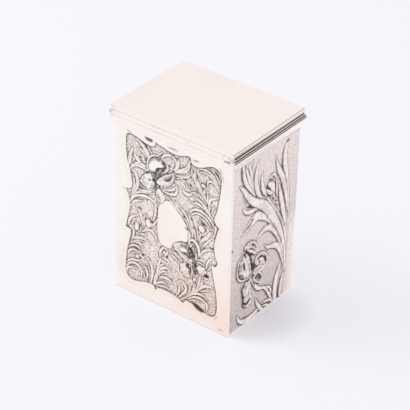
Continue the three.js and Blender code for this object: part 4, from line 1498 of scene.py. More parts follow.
# %% The right iris
leaf([(0.2, 34.6), (3, 33.3), (6.2, 31.6)], [0.5, 1.1, 0.5])
leaf([(-1.4, 32.6), (2, 31.6), (5.4, 29.4)], [0.5, 1.2, 0.5])
petal([(0.5, 35.8), (0.8, 38.2), (2.6, 40.4), (5.4, 41.8), (8.6, 42.4), (10.4, 41.4), (12, 38.6),
       (12.6, 35.6), (12.4, 33.2), (9.4, 34.4), (5.8, 35.8), (2.6, 36)], lift=0.8, rim=0.16, cup=0.14,
      veins=(13.4, 33, 16), lee=(60, 0.35))
petal([(4.8, 38.4), (6.6, 39.9), (9, 39.8), (10, 38.6), (9.4, 37.2), (7.6, 36.9), (5.8, 37.3)], lift=0.9,
      rim=0.02, lee=(-50, 0.2))
petal([(5.2, 27.4), (5.7, 30), (8, 31.4), (10.5, 30.6), (11.9, 28), (11.7, 25.2), (9.7, 23.6), (6.9, 24.6)],
      lift=0.6, rim=0.12, cup=0.06, veins=(11.6, 31.6, 13), frill=7, lee=(230, 0.25))
leaf([(10.4, 42), (11, 45), (13, 46), (15.4, 44), (16.3, 40.8), (15.4, 37.4)],
     [0.8, 1.5, 1.7, 1.7, 0.8], lift=0.8)
leaf([(10.9, 41.4), (12.4, 43.8), (14.2, 42), (14.6, 38.6), (14.2, 35.4)],
     [0.6, 1.4, 1.7, 1.4, 0.6], lift=0.7)
leaf([(14, 37), (13.6, 33), (13.9, 29.8), (14.8, 28.4)], [0.7, 1.3, 1.6, 1.6])
leaf([(15.6, 36.2), (17.6, 36.8), (19.6, 36)], [0.5, 1.4, 0.5])
leaf([(15.6, 34.8), (17.4, 35), (19.4, 34.2)], [0.5, 0.9, 0.4])
petal([(15.2, 32.4), (17, 33.8), (19.6, 33.4), (20.7, 31), (19.4, 28.8), (17.2, 29.2), (15.4, 30.6)],
      lift=0.62, rim=0.1, veins=(14.6, 34, 13), frill=6, lee=(-50, 0.3))
leaf([(15.4, 29.4), (17.4, 28.8), (19, 27.6)], [0.5, 1.1, 0.5])
leaf([(19.4, 27.8), (20.8, 27.6), (21.9, 28.8)], [0.5, 1.4, 0.4])
leaf([(11.6, 32), (12.3, 28), (12, 24)], [0.5, 0.9, 0.5])
bud((10.8, 30.6), 1.3, 1.1, 0)
bud((13.8, 24.4), 2.6, 1.7, -8)
bud((9.6, 24.8), 1.6, 2, 20)
front_map.report("the right iris")

# %% [markdown]
# The hood's painted dark reflection has a bright rim with a few bright bridges across it.

# %% Dark reflections in the right iris
leaf([(1.1, 38), (3.2, 37.1), (6, 35.4), (9, 33.8), (12.4, 32.2)], [0.8, 1.6, 2, 1.8, 1], lift=0.98)
paint_dark_patch([(5.4, 40.3), (6.8, 41.8), (9, 42), (11, 41.4), (12.6, 39.8), (13, 37.6), (12.4, 35.8), (11.2, 34.8),
       (9.2, 35.7), (6.6, 36.9), (7.8, 37.7), (9.6, 38.2), (9.4, 39.4), (7.6, 39.9)], 0.72, 0.5)
paint_dark_patch([(9.7, 40.4), (10.9, 40.8), (12, 39.5), (12.5, 37.6), (12, 36.4), (11.2, 36.6), (10.6, 37.8),
       (9.9, 38.8)])
paint_dark_patch([(7.4, 37), (9, 36.3), (10.6, 35.3), (11.2, 35.2), (10.6, 36.3), (9, 37.1)], cool_shade=0.3)
leaf([(7.3, 41.7), (7.7, 40.1)], [0.3, 0.45], lift=0.9)
leaf([(9.6, 41.7), (9.9, 40.7), (9.6, 39.7)], [0.3, 0.45, 0.3], lift=0.9)
leaf([(10.6, 39.9), (11.1, 39.2)], [0.4, 0.4], lift=0.85)
leaf([(11.7, 38.2), (11.9, 37.2)], [0.35, 0.35], lift=0.85)
paint_dark_patch([(0.9, 37.6), (1.8, 38), (2.1, 36.8), (1.4, 36.3)], 0.6, 0.3)
paint_dark_patch([(2.6, 36.4), (4, 36.5), (4.7, 35.4), (3.1, 35.2)], 0.65, 0)
paint_dark_patch([(11, 44.5), (12.2, 45.5), (14, 45), (15, 42.6), (15.2, 40.2), (14.2, 39.6), (13.6, 42), (12.2, 43.5)],
      0.6, 0.6)
paint_dark_patch([(12.5, 38), (13.7, 37.4), (14.5, 34), (14.5, 30.4), (14.8, 28), (13.7, 27.4), (13.1, 29.4),
       (12.8, 33)], 0.82, 1)
leaf([(13, 36.6), (13.2, 32.4), (13.3, 28.8)], [0.25, 0.4, 0.25], lift=0.75)
paint_dark_patch([(13.6, 29.5), (15, 29.5), (15.1, 27.8), (14.2, 27), (13.4, 27.9)], cool_shade=0.6)
paint_dark_patch([(8.7, 31), (10.2, 31.3), (11.1, 30), (10.2, 29), (8.9, 29.7)], cool_shade=0.4)
paint_dark_patch([(11, 29.9), (12, 29.4), (12.2, 27.6), (11.4, 26.4), (10.7, 27.4)], 0.85, 0)
paint_dark_patch([(4.9, 27.7), (5.7, 27.8), (5.7, 26.3), (4.9, 26.5)], 0.85)
paint_dark_patch([(19.5, 30), (21, 30.1), (22.1, 29), (21, 28.3), (19.7, 28.6)], 0.9, 0)
paint_dark_patch([(15.2, 40.6), (16.2, 38.6), (15.6, 36.4), (15, 38)], 0.7)
hollow((15.5, 29), 2.4, 0.7, -10, 0.75, 0.12)
hollow((9.4, 30.6), 1.2, 1.4, 0, 0.85, 0.2)
hollow((10.6, 27.7), 2, 0.9, 0, 0.7, 0.12)
hollow((20.8, 29.4), 1, 2.4, 10, 0.85, 0.2)
hollow((14.2, 22.7), 1.1, 1.2, 0, 0.85)
hollow((11.2, 26.2), 1, 1.8, -20, 0.75)
hollow((3, 35), 1, 3.4, -25, 0.75)
hollow((6.2, 32.4), 2.2, 1.1, 0, 0.5)
front_map.report("dark reflections in the right iris")

# %% [markdown]
# The border rolls down over the edge of the opening and covers the ends of the leaves, so
# it comes last. Beside the opening it is dented and scored, and the blue-grey in the dents
# along its top is a painted reflection.

# %% The border
front_map.plain(OPENING, 0, rim=0.2, inside=False)
paint_dark_patch([(-16.1, 91), (-14.4, 91.6), (-12.2, 91.2), (-11.3, 90.2), (-12.4, 89.3), (-14.4, 89.4),
       (-15.7, 90.1)], 0.85, 1, soft=1)
hollow((0.4, 90.6), 1.2, 5.6, 0, 0.55, 0.05, cool_shade=1)
hollow((13.6, 89.4), 1.2, 4, 8, 0.55, 0.05, cool_shade=1)
paint_dark_patch([(12.8, 10.7), (14.8, 10.7), (17.2, 9.9), (19.6, 8.4), (18.6, 7.7), (16, 8.2), (13.8, 9.4)],
      cool_shade=0.4, soft=1)
hollow((-26.4, 37.4), 0.9, 2.4, -15, 0.8, 0.1)
hollow((25.6, 37.2), 0.9, 2.2, 15, 0.8, 0.1)
hollow((-28.3, 58.5), 0.7, 1.8, 0, 0.4, 0.05)
hollow((27.6, 58.6), 0.7, 1.8, 0, 0.4, 0.05)
hollow((29.8, 2.6), 0.8, 2.4, 12, 0.75, 0.03, cool_shade=0)
hollow((-25.2, 90.5), 0.5, 3.4, 0, 0.75, 0.06, cool_shade=0.2)
hollow((27.6, 89.4), 3.2, 0.6, 38, 0.7, 0.06, cool_shade=0.2)
hollow((29, 86), 4, 0.5, 8, 0.6, 0.06, cool_shade=0.2)
hollow((27, 8.2), 4.4, 0.5, -32, 0.55, 0.06, cool_shade=0.2)
front_map.report("the border")

# %% [markdown]
# The two sides were pressed in another pair of dies. Their relief is shallow and flat, and
# has no border: the ground runs from corner to corner. The same tools now work on their
# map.

# %% The side's map
side_map = ChasedSheet(
    across(HALF_DEPTH, HALF_DEPTH), up_wall,
    level=-0.16, leaf_lift=0.46, leaf_flat=11, petal_lift=0.55, petal_rim=0.1,
)
leaf, petal, bud = side_map.leaf, side_map.petal, side_map.bud
hollow, paint_dark_patch = side_map.hollow, side_map.paint_dark_patch
print("the side's map:", side_map.height.shape, "points")

# %% [markdown]
# The forms are larger and calmer than on the front. At the top, blades stand on both
# sides of the broad leaf.

# %% The side's blades
leaf([(-13.4, 91), (-12.6, 87), (-11.4, 83), (-10.2, 78), (-8.4, 72.6)], [0.5, 1.5, 1.8, 1.3, 0.5], lift=0.3)
leaf([(-10.4, 90.6), (-10.6, 86), (-10.2, 81.6)], [0.4, 1.2, 0.5], lift=0.25)
leaf([(-16.2, 89.4), (-14.4, 84.6), (-12.7, 80), (-10.6, 75), (-7.8, 70.4)], [0.6, 2, 2.8, 2.3, 0.6])
leaf([(-18, 91.4), (-17.4, 86), (-15.7, 81), (-13, 76.8), (-10, 72.8), (-8, 70)],
     [1.4, 2.3, 2.5, 2, 1.4, 0.5])
leaf([(-6, 88.4), (-7.4, 84), (-7.9, 78.5), (-6.8, 73.5), (-4.9, 69.4), (-2.4, 66.4)],
     [0.5, 2.2, 3.2, 3.4, 2.6, 0.8], veins=2)
leaf([(-2.7, 80.6), (-3.1, 76.5), (-2.4, 72.5), (-0.8, 68.9), (1.6, 65.2)], [0.5, 2, 2.6, 2.6, 0.8])
leaf([(17, 88.6), (15.1, 85.4), (14.5, 80.4), (15.4, 74.4), (16.8, 68), (18, 61), (19.2, 53), (20, 45)],
     [1, 2.8, 3.8, 3.6, 3, 2.4, 1.6, 0.5], veins=2)
leaf([(7.5, 84.4), (8.7, 79.6), (10.8, 74.8), (13.4, 70), (15.3, 64.4), (17.2, 57.6), (18.6, 49)],
     [0.5, 1.9, 3.2, 3.5, 3, 2.2, 0.6], veins=2)
leaf([(11, 67), (12.5, 60.4), (14.4, 53.6), (16.4, 46.4), (18, 39), (19.4, 30)],
     [0.8, 3, 3.3, 2.7, 1.8, 0.6])
hollow((-19, 86.6), 9, 1.6, 6, 0.6, 0.05)
hollow((-16, 89.6), 3, 0.9, 15, 0.6, 0.05)
hollow((-16.6, 79.4), 5, 1, 38, 0.6, 0.06)
hollow((16.4, 88.4), 1.2, 2.6, 25, 0.7, 0.12)
hollow((13, 74.6), 7, 0.9, 22, 0.5, 0.05)
hollow((12.6, 80), 6, 0.8, -4, 0.45, 0.05)
side_map.report("the side's blades")

# %% [markdown]
# One broad leaf sweeps up from the right of the foot to the left. The leaves on its left are
# each tucked under the one above, and a strand lies along its right edge.

# %% The broad leaf
leaf([(1, 38.6), (4.2, 35.8), (8, 34.6), (11.6, 32.6), (14.1, 28.6), (16.4, 22.6), (18.8, 14)],
     [0.5, 1.8, 2.7, 3.3, 2.6, 1.8, 0.6])
leaf([(-5.2, 44.8), (-1.6, 47.1), (2.6, 47.5), (6.2, 45.8), (9.2, 42.2), (12.2, 37.4), (15, 31), (17.2, 24),
      (18.8, 16)], [0.5, 2.5, 3.6, 3.8, 3.2, 2.5, 2, 1.5, 0.6], veins=2)
leaf([(-17.4, 52.8), (-13, 54.4), (-9.2, 57), (-5.4, 58), (-1.4, 55.6), (3.2, 51.6), (7.6, 46.6),
      (11.6, 40.4), (14.8, 33)], [0.6, 2.4, 5, 4.9, 3.4, 2.1, 1.6, 1.3, 0.7])
paint_dark_patch([(-16.6, 53.6), (-13.4, 55.8), (-10.4, 58.6), (-9.4, 58.2), (-11.2, 56), (-14, 54.2)], 0.55, 0.2,
      depth=0.12)
leaf([(-15.8, 54.6), (-12.6, 57), (-9.8, 59.8)], [0.4, 0.9, 0.4], lift=0.4)
leaf([(-14.4, 54), (-11.2, 56.6), (-9.2, 58.2)], [0.3, 0.8, 0.3], lift=0.5)
leaf([(-17.4, 67.8), (-15, 64.8), (-11.4, 63.2), (-7, 62.8)], [0.5, 1.8, 2.5, 2])
hollow((-12.2, 66.2), 6.4, 1.5, 62, 0.8, 0.06)
hollow((-7, 61), 5, 0.9, 80, 0.75, 0.06)
hollow((-16, 70.6), 8, 1, 28, 0.5, 0.04)
hollow((-10.6, 56.4), 0.9, 1.8, 35, 0.6, 0.06)
hollow((-12.8, 55.4), 0.6, 2.4, 40, 0.5, 0.06)
hollow((3.2, 48.9), 1, 6.6, -8, 0.55, 0.04)
# The broad leaf and the strand along its right edge
leaf([(-20.2, 81), (-17, 77.6), (-13.5, 72.4), (-9, 67.6), (-4, 64), (0.5, 60.4), (4, 56), (8, 50),
      (12, 43.4), (15.2, 36.4), (17.4, 29), (18.7, 21), (19.6, 13.4)],
     [0.6, 2.2, 3.5, 4.2, 4.8, 5.4, 5.8, 5, 3.8, 2.9, 2.2, 1.5, 0.6], lift=0.52, veins=4)
# A faint blue-grey painted shade over the broad leaf.
paint_dark_patch([(-13.8, 73), (-9, 67.8), (-4, 65), (0.6, 61.6), (4.6, 57), (8, 51.4), (6.4, 50), (2.4, 54.4),
       (-1.4, 58.6), (-5.4, 62.4), (-10, 66.4)], 0.05, 0.7, soft=2, depth=0)
leaf([(1.2, 65.4), (3.6, 61.8), (8, 55.9), (12.4, 49.2), (15.8, 42.2), (17.9, 34.6), (19.3, 26)],
     [0.5, 1.4, 1.5, 1.5, 1.4, 1.2, 0.6])
leaf([(5.2, 59.8), (9.4, 54.4), (13.4, 48), (16.4, 41.4)], [0.3, 0.7, 0.7, 0.3])
hollow((4.4, 64), 8, 0.9, 32, 0.65, 0.05)
side_map.report("the broad leaf")

# %% [markdown]
# A bud hangs from a hooked stem: two petals and a few short leaves. Low leaves lie along
# the foot, and upright blades stand on the right.

# %% The side's bud and foot
leaf([(8.2, 72), (8.9, 68), (9.2, 64), (10, 60.6)], [0.6, 1.3, 1.2, 0.5])
leaf([(3, 74.2), (4.8, 75.5), (6.9, 74.7), (8.4, 72)], [0.5, 1.5, 1.5, 0.7])
petal([(1.6, 72.6), (4, 72.2), (6.2, 71), (7.3, 68.8), (7.1, 66.4), (6, 65.2), (4.6, 67), (3, 69.2),
       (1.9, 70.6)])
petal([(0.6, 69.8), (2.2, 68.8), (4.2, 67.4), (5.6, 65.6), (4.4, 64.9), (2.4, 65.9), (0.9, 67.9)])
leaf([(6.2, 65), (7.2, 62.6), (8.8, 60.6)], [0.6, 1.3, 0.6])
leaf([(7.6, 60.6), (9.2, 60.4), (9.8, 59.4)], [0.5, 1.1, 0.5])
leaf([(8.8, 58.8), (10.2, 57.6), (11, 56)], [0.5, 1.3, 0.5])
hollow((1.3, 70.5), 1.8, 1.2, 30, 0.85, 0.1)
hollow((7.9, 69), 4, 0.9, 8, 0.8, 0.08)
hollow((4.4, 73), 1, 4.6, -22, 0.75, 0.08)
hollow((2.4, 65.2), 5, 1, 40, 0.7, 0.08)
hollow((4.6, 76), 0.8, 4, 5, 0.6, 0.04)
hollow((6.8, 61.6), 2, 1.6, 0, 0.5, 0.05)
# The foot: low leaves, and two upright blades on the right
leaf([(-19, 8.8), (-17.4, 5), (-14.4, 2.6), (-10, 1.9), (-5.6, 2.4), (-1.4, 3.8)],
     [0.5, 1.9, 2.8, 3, 2.6, 1])
leaf([(-9, 0.4), (-5.4, 0.9), (-2.4, 1.8)], [0.6, 1, 0.4])
leaf([(1, 4.6), (4, 4.6), (7.6, 3.4), (11, 0.4)], [0.6, 1.5, 1.7, 1.4])
leaf([(1.6, 3), (4.8, 2), (7.4, 0)], [0.5, 1.4, 1])
leaf([(-4.5, 11), (-3, 7), (-0.8, 3.6), (1.8, 0)], [0.5, 2, 2.3, 1.8])
leaf([(15.5, 21.8), (13.5, 17.6), (11.8, 12.4), (11.2, 6), (11.6, 0)], [0.5, 2.8, 3.8, 3.8, 2.8])
leaf([(17.9, 14.4), (16.7, 11), (15.7, 6), (15.5, 0)], [0.5, 2, 2.5, 2])
hollow((13.6, 4), 8, 0.9, 0, 0.6, 0.05)
hollow((-11.6, 4), 1, 8, -8, 0.6, 0.04)
hollow((14, 0.6), 1.4, 3, 0, 0.75, 0.04)
side_map.report("the side's bud and foot")

# %% [markdown]
# An iris with three falls hangs on the left over its own stem. The frilled edges come from
# a wave that runs round each petal.

# %% The side's iris
leaf([(-10.4, 27), (-8.6, 23.6), (-6.6, 20.6), (-4, 17), (-1.4, 14.9), (1.4, 14), (3.8, 12), (5.6, 8.8),
      (7.6, 5.6), (9, 3)], [0.8, 1.5, 2, 2.3, 1.9, 1.6, 1.9, 1.9, 1.6, 0.8])
leaf([(3.6, 13.2), (6.2, 11.6), (7.8, 9), (7.6, 6.6)], [0.5, 1.5, 1.5, 0.6])
petal([(-12.6, 24.8), (-14.6, 23.2), (-15.5, 20.4), (-14.7, 18), (-14.2, 15), (-14.8, 12.6), (-13, 10.3),
       (-10.6, 9.9), (-8.7, 11.4), (-8.2, 14), (-8.9, 17.6), (-9.1, 21.4), (-10, 24.2)], lift=0.62,
      veins=(-10.6, 27, 21), frill=11, lee=(190, 0.25))
petal([(-7.4, 24.6), (-5, 25.2), (-2.6, 24.7), (-0.5, 22.9), (-0.2, 20.6), (-1.8, 19.8), (-4, 20.9),
       (-6.4, 22.6)], lift=0.5, rim=0.2, cup=0.24, shade=0.5)
petal([(-7.6, 27.8), (-5.4, 29.2), (-2, 29.2), (1.2, 28.4), (1.8, 26), (-0.8, 24.7), (-4, 24.8),
       (-6.8, 25.6)], veins=(-9, 26, 20), frill=8)
petal([(-6.6, 33.4), (-5, 35.3), (-2.4, 36), (0.4, 35.2), (2.8, 33.6), (4, 31.4), (4.1, 28.8), (2.2, 27.9),
       (-0.6, 28.6), (-3.4, 29.6), (-5.8, 31)], rim=0.2, cup=0.14, veins=(-8.4, 29, 15), frill=10)
petal([(-15.4, 44.4), (-13.8, 46.2), (-11, 46.7), (-7.8, 45.7), (-5.5, 43.4), (-4.5, 40.6), (-5.4, 37.2),
       (-7.4, 37.8), (-9.4, 40), (-11.6, 41.6), (-13.8, 42.9)], rim=0.12, cup=0.06, frill=13)
leaf([(-13.4, 45.4), (-10.4, 44.8), (-7.6, 42.8), (-6, 40)], [0.4, 0.9, 0.9, 0.4], lift=0.62)
leaf([(-13.6, 43.6), (-10.8, 41.4), (-8.4, 40), (-6.4, 37.8)], [0.6, 1.5, 2, 1.2], lift=0.6)
leaf([(-16.2, 42), (-18.9, 39), (-19.9, 34.6), (-19.3, 30.4), (-16.4, 27.4), (-13.2, 26.5), (-10.2, 25.8)],
     [0.6, 1.1, 1.2, 1.2, 1.2, 1, 0.6])
petal([(-19, 33.2), (-18.7, 36.6), (-17.2, 39.6), (-15, 41.4), (-12.8, 40.8), (-11.2, 38), (-10.1, 34),
       (-9.7, 30), (-11, 27.8), (-13.4, 27.4), (-16.2, 28.4), (-18.2, 30.4)], lift=0.66, rim=0.12,
      veins=(-10.6, 26.4, 19), frill=12, lee=(160, 0.15))
side_map.report("the side's iris")

# %% [markdown]
# As on the front, painted dark reflections follow the petals' rims, with bright gaps between them.

# %% Dark reflections in the side's iris
paint_dark_patch([(-16.2, 37.4), (-15.4, 37.5), (-14.6, 35.4), (-14.7, 33.2), (-15.6, 33.7), (-16.1, 35.4)], cool_shade=1)
paint_dark_patch([(-18.7, 36.9), (-17.7, 37.1), (-17, 35.4), (-17.4, 33.5), (-18.4, 33.7)], 0.38, 1, soft=0.8)
paint_dark_patch([(-15.4, 41), (-14.4, 41), (-14.3, 39.8), (-15.2, 39.7)], 0.75, 0.4)
paint_dark_patch([(-18.7, 32.4), (-17.4, 31.8), (-16, 30.2), (-14.6, 28.6), (-15.8, 27.9), (-17.5, 29), (-18.6, 30.8)],
      0.62, 0.6, soft=1.1)
paint_dark_patch([(-12.2, 35), (-11.4, 35.2), (-10.6, 32), (-10.6, 29.4), (-11.4, 30.6)], 0.4, 1)
paint_dark_patch([(-12, 40.7), (-10.6, 40.2), (-9.2, 37.8), (-8.1, 35), (-8.5, 32.8), (-9.7, 33.2), (-10.4, 36.4),
       (-11.4, 39)], 0.75, 0.1)
paint_dark_patch([(-9.7, 32.8), (-8, 33.2), (-6.5, 31.4), (-5.7, 30), (-6.8, 28.8), (-8.4, 29.2), (-9.5, 30.6)],
      cool_shade=0.5)
paint_dark_patch([(-13.4, 42.9), (-11.8, 41.6), (-10, 40), (-8.2, 38.2), (-8.9, 37.6), (-10.9, 39.3), (-12.6, 41.2),
       (-13.8, 42.3)], 0.8, 0.2)
paint_dark_patch([(-14.8, 43.7), (-14, 44.2), (-13.2, 43.5), (-13.4, 42.6), (-14.4, 42.7)], 0.85, 0.3)
paint_dark_patch([(-9.8, 44.7), (-7.4, 43.7), (-5.9, 41.4), (-6.6, 41.1), (-8, 42.9), (-9.9, 43.9)], 0.75, 0.2)
paint_dark_patch([(-11.2, 43.6), (-8.8, 42.3), (-6.9, 40), (-7.6, 39.8), (-9.4, 41.5), (-11.4, 42.9)], 0.7, 0.2)
side_map.report("dark reflections in the side's iris")

# %% [markdown]
# Two of the falls have a bright rim with painted dark reflections inside it, and soft
# hollows paint shade on the ground and the leaves beside the stem.

# %% The side's falls and stem
paint_dark_patch([(-4.8, 33.8), (-3, 34.6), (-1, 34.1), (0.2, 33.2), (-0.6, 32.7), (-2.6, 33.3), (-4.3, 33)], 0.9, 0.1)
paint_dark_patch([(0.3, 33), (1.8, 32.2), (2.9, 30.4), (2.4, 28.8), (1.3, 29.2), (0.9, 31), (-0.1, 32)], 0.9, 0.1)
paint_dark_patch([(-3.5, 32.7), (-2.4, 32.7), (-1.9, 31), (-2.6, 29.8), (-3.6, 30.5)], 0.5, 0.6)
leaf([(-6.3, 33), (-4.9, 35), (-2.6, 35.7), (0, 35), (2.2, 33.3), (3.3, 31), (3.3, 28.8)],
     [0.5, 0.9, 1, 1, 1.1, 1.2, 0.6], lift=0.74)
paint_dark_patch([(-6.4, 27.2), (-4, 27.8), (-1.4, 27.4), (-1.3, 26.8), (-4, 27), (-6.2, 26.5)], 0.6, 0.2)
paint_dark_patch([(-6.3, 23.6), (-4.6, 24.9), (-2.6, 24.7), (-1.3, 23), (-1.1, 21.2), (-2.2, 20.4), (-3.8, 21.5),
       (-5.4, 22.7)], 0.66, 0.6, soft=0.7)
leaf([(-7, 24), (-5.1, 25.5), (-2.8, 25.3), (-0.9, 23.4), (-0.4, 20.9), (-1.8, 19.2), (-4.1, 20.4),
      (-6.2, 22.3), (-7.1, 23.7)], [0.8, 0.9, 1, 1.2, 1, 0.8], lift=0.74)
paint_dark_patch([(-14.2, 13.9), (-12.6, 13.2), (-11, 13.8), (-9.8, 15), (-9.5, 13.6), (-11, 11.8), (-13, 11.8),
       (-14.4, 12.7)], 0.92, 0.4)
paint_dark_patch([(-13.5, 23.6), (-12.9, 22.6), (-13.1, 20.4), (-13.8, 20.6), (-13.7, 22.4)], 0.65, 0.3)
paint_dark_patch([(-11.4, 19), (-10.8, 19), (-10, 15.4), (-10.8, 15.6)], 0.4, 0.8)
hollow((-9.6, 26.6), 3, 1, 20, 0.7, 0.1)
hollow((-16.3, 22), 4.4, 1.6, 15, 0.5, 0.05)
hollow((-15.6, 17), 5, 1.4, 0, 0.4, 0.04)
paint_dark_patch([(-14, 17.4), (-12, 17.8), (-10, 16.2), (-10, 14.2), (-12.2, 13.6), (-14.2, 14.8)], 0.2, 0.5,
      soft=1.6, depth=0.02)
hollow((-12.6, 22), 3, 0.6, 5, 0.35, 0.06)
hollow((-7, 21.4), 4, 1, 35, 0.75, 0.06)
hollow((-19.9, 35), 6, 0.8, 0, 0.5, 0.04)
hollow((-24.4, 47.7), 1.3, 1.6, 0, 0.9, 0.06)
side_map.report("the side's falls and stem")

# %% [markdown]
# The finished maps are pressed into the walls. Each point goes to its place across the
# wall, and is pushed along the wall's own normal by the height in the map. The height
# fades out towards the upright edges, which are plain, and the foot is a little rounded.
# The tarnish fades out towards the upright edges and the foot, except at the upper right,
# and on the front and back a dark line is painted where the foot meets the table, as the
# shadow there.

# %% Where each point goes, and how it has aged
EDGE_FADE = 0.8
FOOT_ROUNDING = 0.35
FOOT_PLAIN = 0.45
FOOT_CLEARING = 0.6
CONTACT_SHADOW_HEIGHT = 0.7
SPARED_FROM = 30
SPARED_RISE = 20


def pressed_places(sheet, flat, fade_out):
    """The place of each grid point, row by row, with x along the wall and y outwards."""
    foot = FOOT_ROUNDING - np.minimum(sheet.vs, FOOT_ROUNDING)
    rounding = FOOT_ROUNDING - np.sqrt(FOOT_ROUNDING ** 2 - foot ** 2)
    height = sheet.height * fade_out - rounding[None, :]
    turn = np.maximum(np.abs(sheet.us) - flat, 0) / CORNER_RADIUS
    sign = np.sign(sheet.us)
    plan_x = np.where(turn > 0, sign * (flat + CORNER_RADIUS * np.sin(turn)), sheet.us)
    plan_y = -CORNER_RADIUS * (1 - np.cos(turn))
    xs = plan_x[:, None] + (sign * np.sin(turn))[:, None] * height
    ys = plan_y[:, None] + np.cos(turn)[:, None] * height
    zs = np.broadcast_to(sheet.vs[None, :], height.shape)
    return np.stack([-xs, ys, zs], axis=-1).transpose(1, 0, 2).reshape(-1, 3).tolist()


def worn_maps(sheet, fade_out, contact_shadow):
    """The tarnish, steel and stipple of each grid point, row by row."""
    spared = (sheet.us[:, None] > 0) * fade((sheet.vs[None, :] - SPARED_FROM) / SPARED_RISE)
    worn = np.maximum(fade_out, spared) * fade((sheet.vs - FOOT_PLAIN) / FOOT_CLEARING)[None, :]
    # A painted shadow line where the foot meets the table.
    contact_shadow_line = contact_shadow * fade(1 - sheet.vs / CONTACT_SHADOW_HEIGHT)[None, :]
    dark = np.maximum(sheet.dark * worn, contact_shadow_line)
    maps = dark, sheet.cool_shade * worn, sheet.stipple * worn
    return [np.clip(aged, 0, 1).T.ravel().tolist() for aged in maps]


# %% [markdown]
# An operator makes the flat grid, and its points are moved. The grid's border is extruded
# back to the sheet's thickness, and one face closes the back.

# %% Press a wall
CRISP_WALL = math.radians(78)


def press(side, sheet, material, contact_shadow):
    """Turns the sheet's map into the wall that stands on that side."""
    half_length = SIDES[side][2] - JOINT_GAP
    flat = half_length - CORNER_RADIUS
    fade_out = 1 - fade((np.abs(sheet.us) - flat + EDGE_FADE) / EDGE_FADE)[:, None]
    places = pressed_places(sheet, flat, fade_out)
    maps = worn_maps(sheet, fade_out, contact_shadow)
    bm = bmesh.new()
    tarnish_and_shade = bm.verts.layers.float.new("tarnish_and_shade")
    cool_shade = bm.verts.layers.float.new("cool_shade")
    stipple = bm.verts.layers.float.new("stipple")
    bmesh.ops.create_grid(bm, x_segments=len(sheet.us) - 1, y_segments=len(sheet.vs) - 1, size=1)
    for vert, place, *aged in zip(bm.verts, places, *maps):
        vert.co = place
        vert[tarnish_and_shade], vert[cool_shade], vert[stipple] = aged
    border = [edge for edge in bm.edges if edge.is_boundary]
    made = bmesh.ops.extrude_edge_only(bm, edges=border)["geom"]
    inner = half_length - WALL
    for vert in (item for item in made if isinstance(item, bmesh.types.BMVert)):
        vert.co.x = max(-inner, min(inner, vert.co.x))
        vert.co.y = -WALL
        vert[stipple] = 0
    bmesh.ops.holes_fill(bm, edges=[edge for edge in bm.edges if edge.is_boundary], sides=0)
    bmesh.ops.recalc_face_normals(bm, faces=bm.faces)
    move_to_side(bm, side)
    return finish_piece(bm, side + "_panel", material, CRISP_WALL)


# %% [markdown]
# Polishing wipes the high places and leaves the low ones dark, and shade falls in them
# too, which is painted here. A blurred copy of the map shows how far each point lies below
# what is round it, and that much darkness is added, as patina and painted shade. Below and
# to the left of each raised form more painted shade is added.

# %% Find the low places
NARROW_SHADE = 1.1
WIDE_SHADE = 0.75
MOST_SHADE = 0.6
LEE_STEPS = 3
LEE_SHADE = 0.5
LEE_DEPTH = 0.5


def blurred(values, reach, passes=2):
    """Averages a map, once or more, over a square that reaches so many points each way."""
    for _ in range(passes):
        for axis in (0, 1):
            padded = np.concatenate([
                np.repeat(np.take(values, [0], axis), reach + 1, axis), values,
                np.repeat(np.take(values, [-1], axis), reach, axis),
            ], axis)
            total = np.cumsum(padded, axis)
            size = values.shape[axis]
            values = (np.take(total, range(2 * reach + 1, 2 * reach + 1 + size), axis)
                      - np.take(total, range(size), axis)) / (2 * reach + 1)
    return values


def low_places(height):
    """How much patina and painted shade each point gets for lying low, and how much more painted shade on the
    lower left of what stands higher.
    """
    narrow = NARROW_SHADE * (blurred(height, 1) - height)
    wide = WIDE_SHADE * (blurred(height, 4) - height)
    above = np.pad(height, LEE_STEPS, mode="edge")[2 * LEE_STEPS:, 2 * LEE_STEPS:]
    return np.clip(narrow + wide, 0, MOST_SHADE), LEE_SHADE * np.clip(above - height, 0, LEE_DEPTH)


# %% [markdown]
# No chased sheet is even. Chance makes the worked metal swell and darken a little, and
# sets each punch mark to its own depth. Under the moulding a strip is painted dark, as the
# shadow that the moulding casts.

# %% Weather a sheet
SHADE_COOLNESS = 0.55
PUNCH_DEPTH = 0.04
UNEVEN_HEIGHT = 0.035
UNEVEN_DARK = 0.1
MOULDING_SHADOW = 0.9
MOULDING_SHADOW_STRIP = 0.7
SHEEN_FROM = 15
SHEEN_EDGE = 9
SHEEN_BELOW = 50
SHEEN_RISE = 20


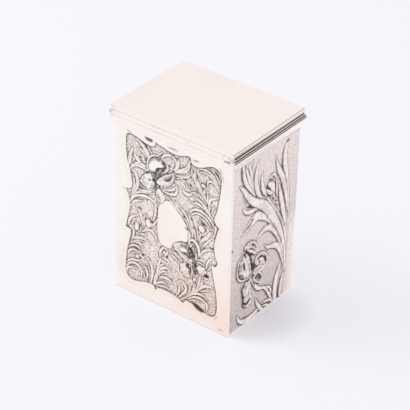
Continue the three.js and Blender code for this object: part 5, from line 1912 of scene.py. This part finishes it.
def weather(sheet, seed, ground_dark, overall_shade=0.0, sheen=0.0):
    """Rounds off the strokes, darkens the low places with patina and painted shade, and adds
    the hand's unevenness.

    ground_dark: the ground's darkness at the foot, half way up and at the top. film: the
    share of it laid over the leaves too, as painted shade. rubbed: how much of both is taken
    off at the lower right edge, as a painted highlight.
    """
    for name in ("height", "dark", "cool_shade"):
        values = getattr(sheet, name)
        setattr(sheet, name, 0.5 * values + 0.5 * blurred(values, 1, passes=1))
    shade, lee = low_places(sheet.height)
    # The strip at the top is a painted shadow under the moulding.
    levels = [0, WALL_TOP / 2, WALL_TOP - MOULDING_SHADOW_STRIP, WALL_TOP]
    ground = np.interp(sheet.vs, levels, [*ground_dark, MOULDING_SHADOW])
    ground = ground[None, :] * (sheet.stipple + overall_shade * (1 - sheet.stipple))
    # At the lower right edge a painted highlight lifts the darkness.
    aside = fade((sheet.us - SHEEN_FROM) / SHEEN_EDGE)[:, None]
    ground *= 1 - sheen * aside * fade((SHEEN_BELOW - sheet.vs) / SHEEN_RISE)[None, :]
    chance = np.random.default_rng(seed)
    uneven = blurred(chance.normal(size=sheet.height.shape), 2) * 5
    uneven *= sheet.worked * (1 - 0.8 * sheet.stipple)
    punched = chance.random(sheet.height.shape) * sheet.stipple
    # The painted shade in the low places is partly blue-grey.
    sheet.cool_shade = np.maximum(sheet.cool_shade, SHADE_COOLNESS * shade)
    sheet.dark = sheet.dark + shade + lee + ground + UNEVEN_DARK * uneven
    sheet.height = sheet.height + UNEVEN_HEIGHT * uneven - PUNCH_DEPTH * punched


# %% [markdown]
# The dies made each pair of walls alike, and only what chance adds differs. The front's
# leaves stay bright, while on the sides a painted shade lies over everything, and their
# lower right edge gets a painted highlight.

# %% Weather and press the four walls
FRONT_TARNISH = (0.44, 0.25, 0.4)
SIDE_TARNISH = (0.54, 0.34, 0.24)
SIDE_OVERALL_SHADE = 0.35
SIDE_SHEEN = 0.6
CONTACT_SHADOW = 0.5

for seed, side in enumerate(("front", "back", "left", "right")):
    if side in ("front", "back"):
        sheet = copy.copy(front_map)
        weather(sheet, seed, FRONT_TARNISH)
        press(side, sheet, chased, CONTACT_SHADOW)
    else:
        sheet = copy.copy(side_map)
        weather(sheet, seed, SIDE_TARNISH, SIDE_OVERALL_SHADE, SIDE_SHEEN)
        press(side, sheet, chased_shaded_side, 0.0)
    print(side, "wall: relief of", round(float(np.ptp(sheet.height)), 2), "mm")
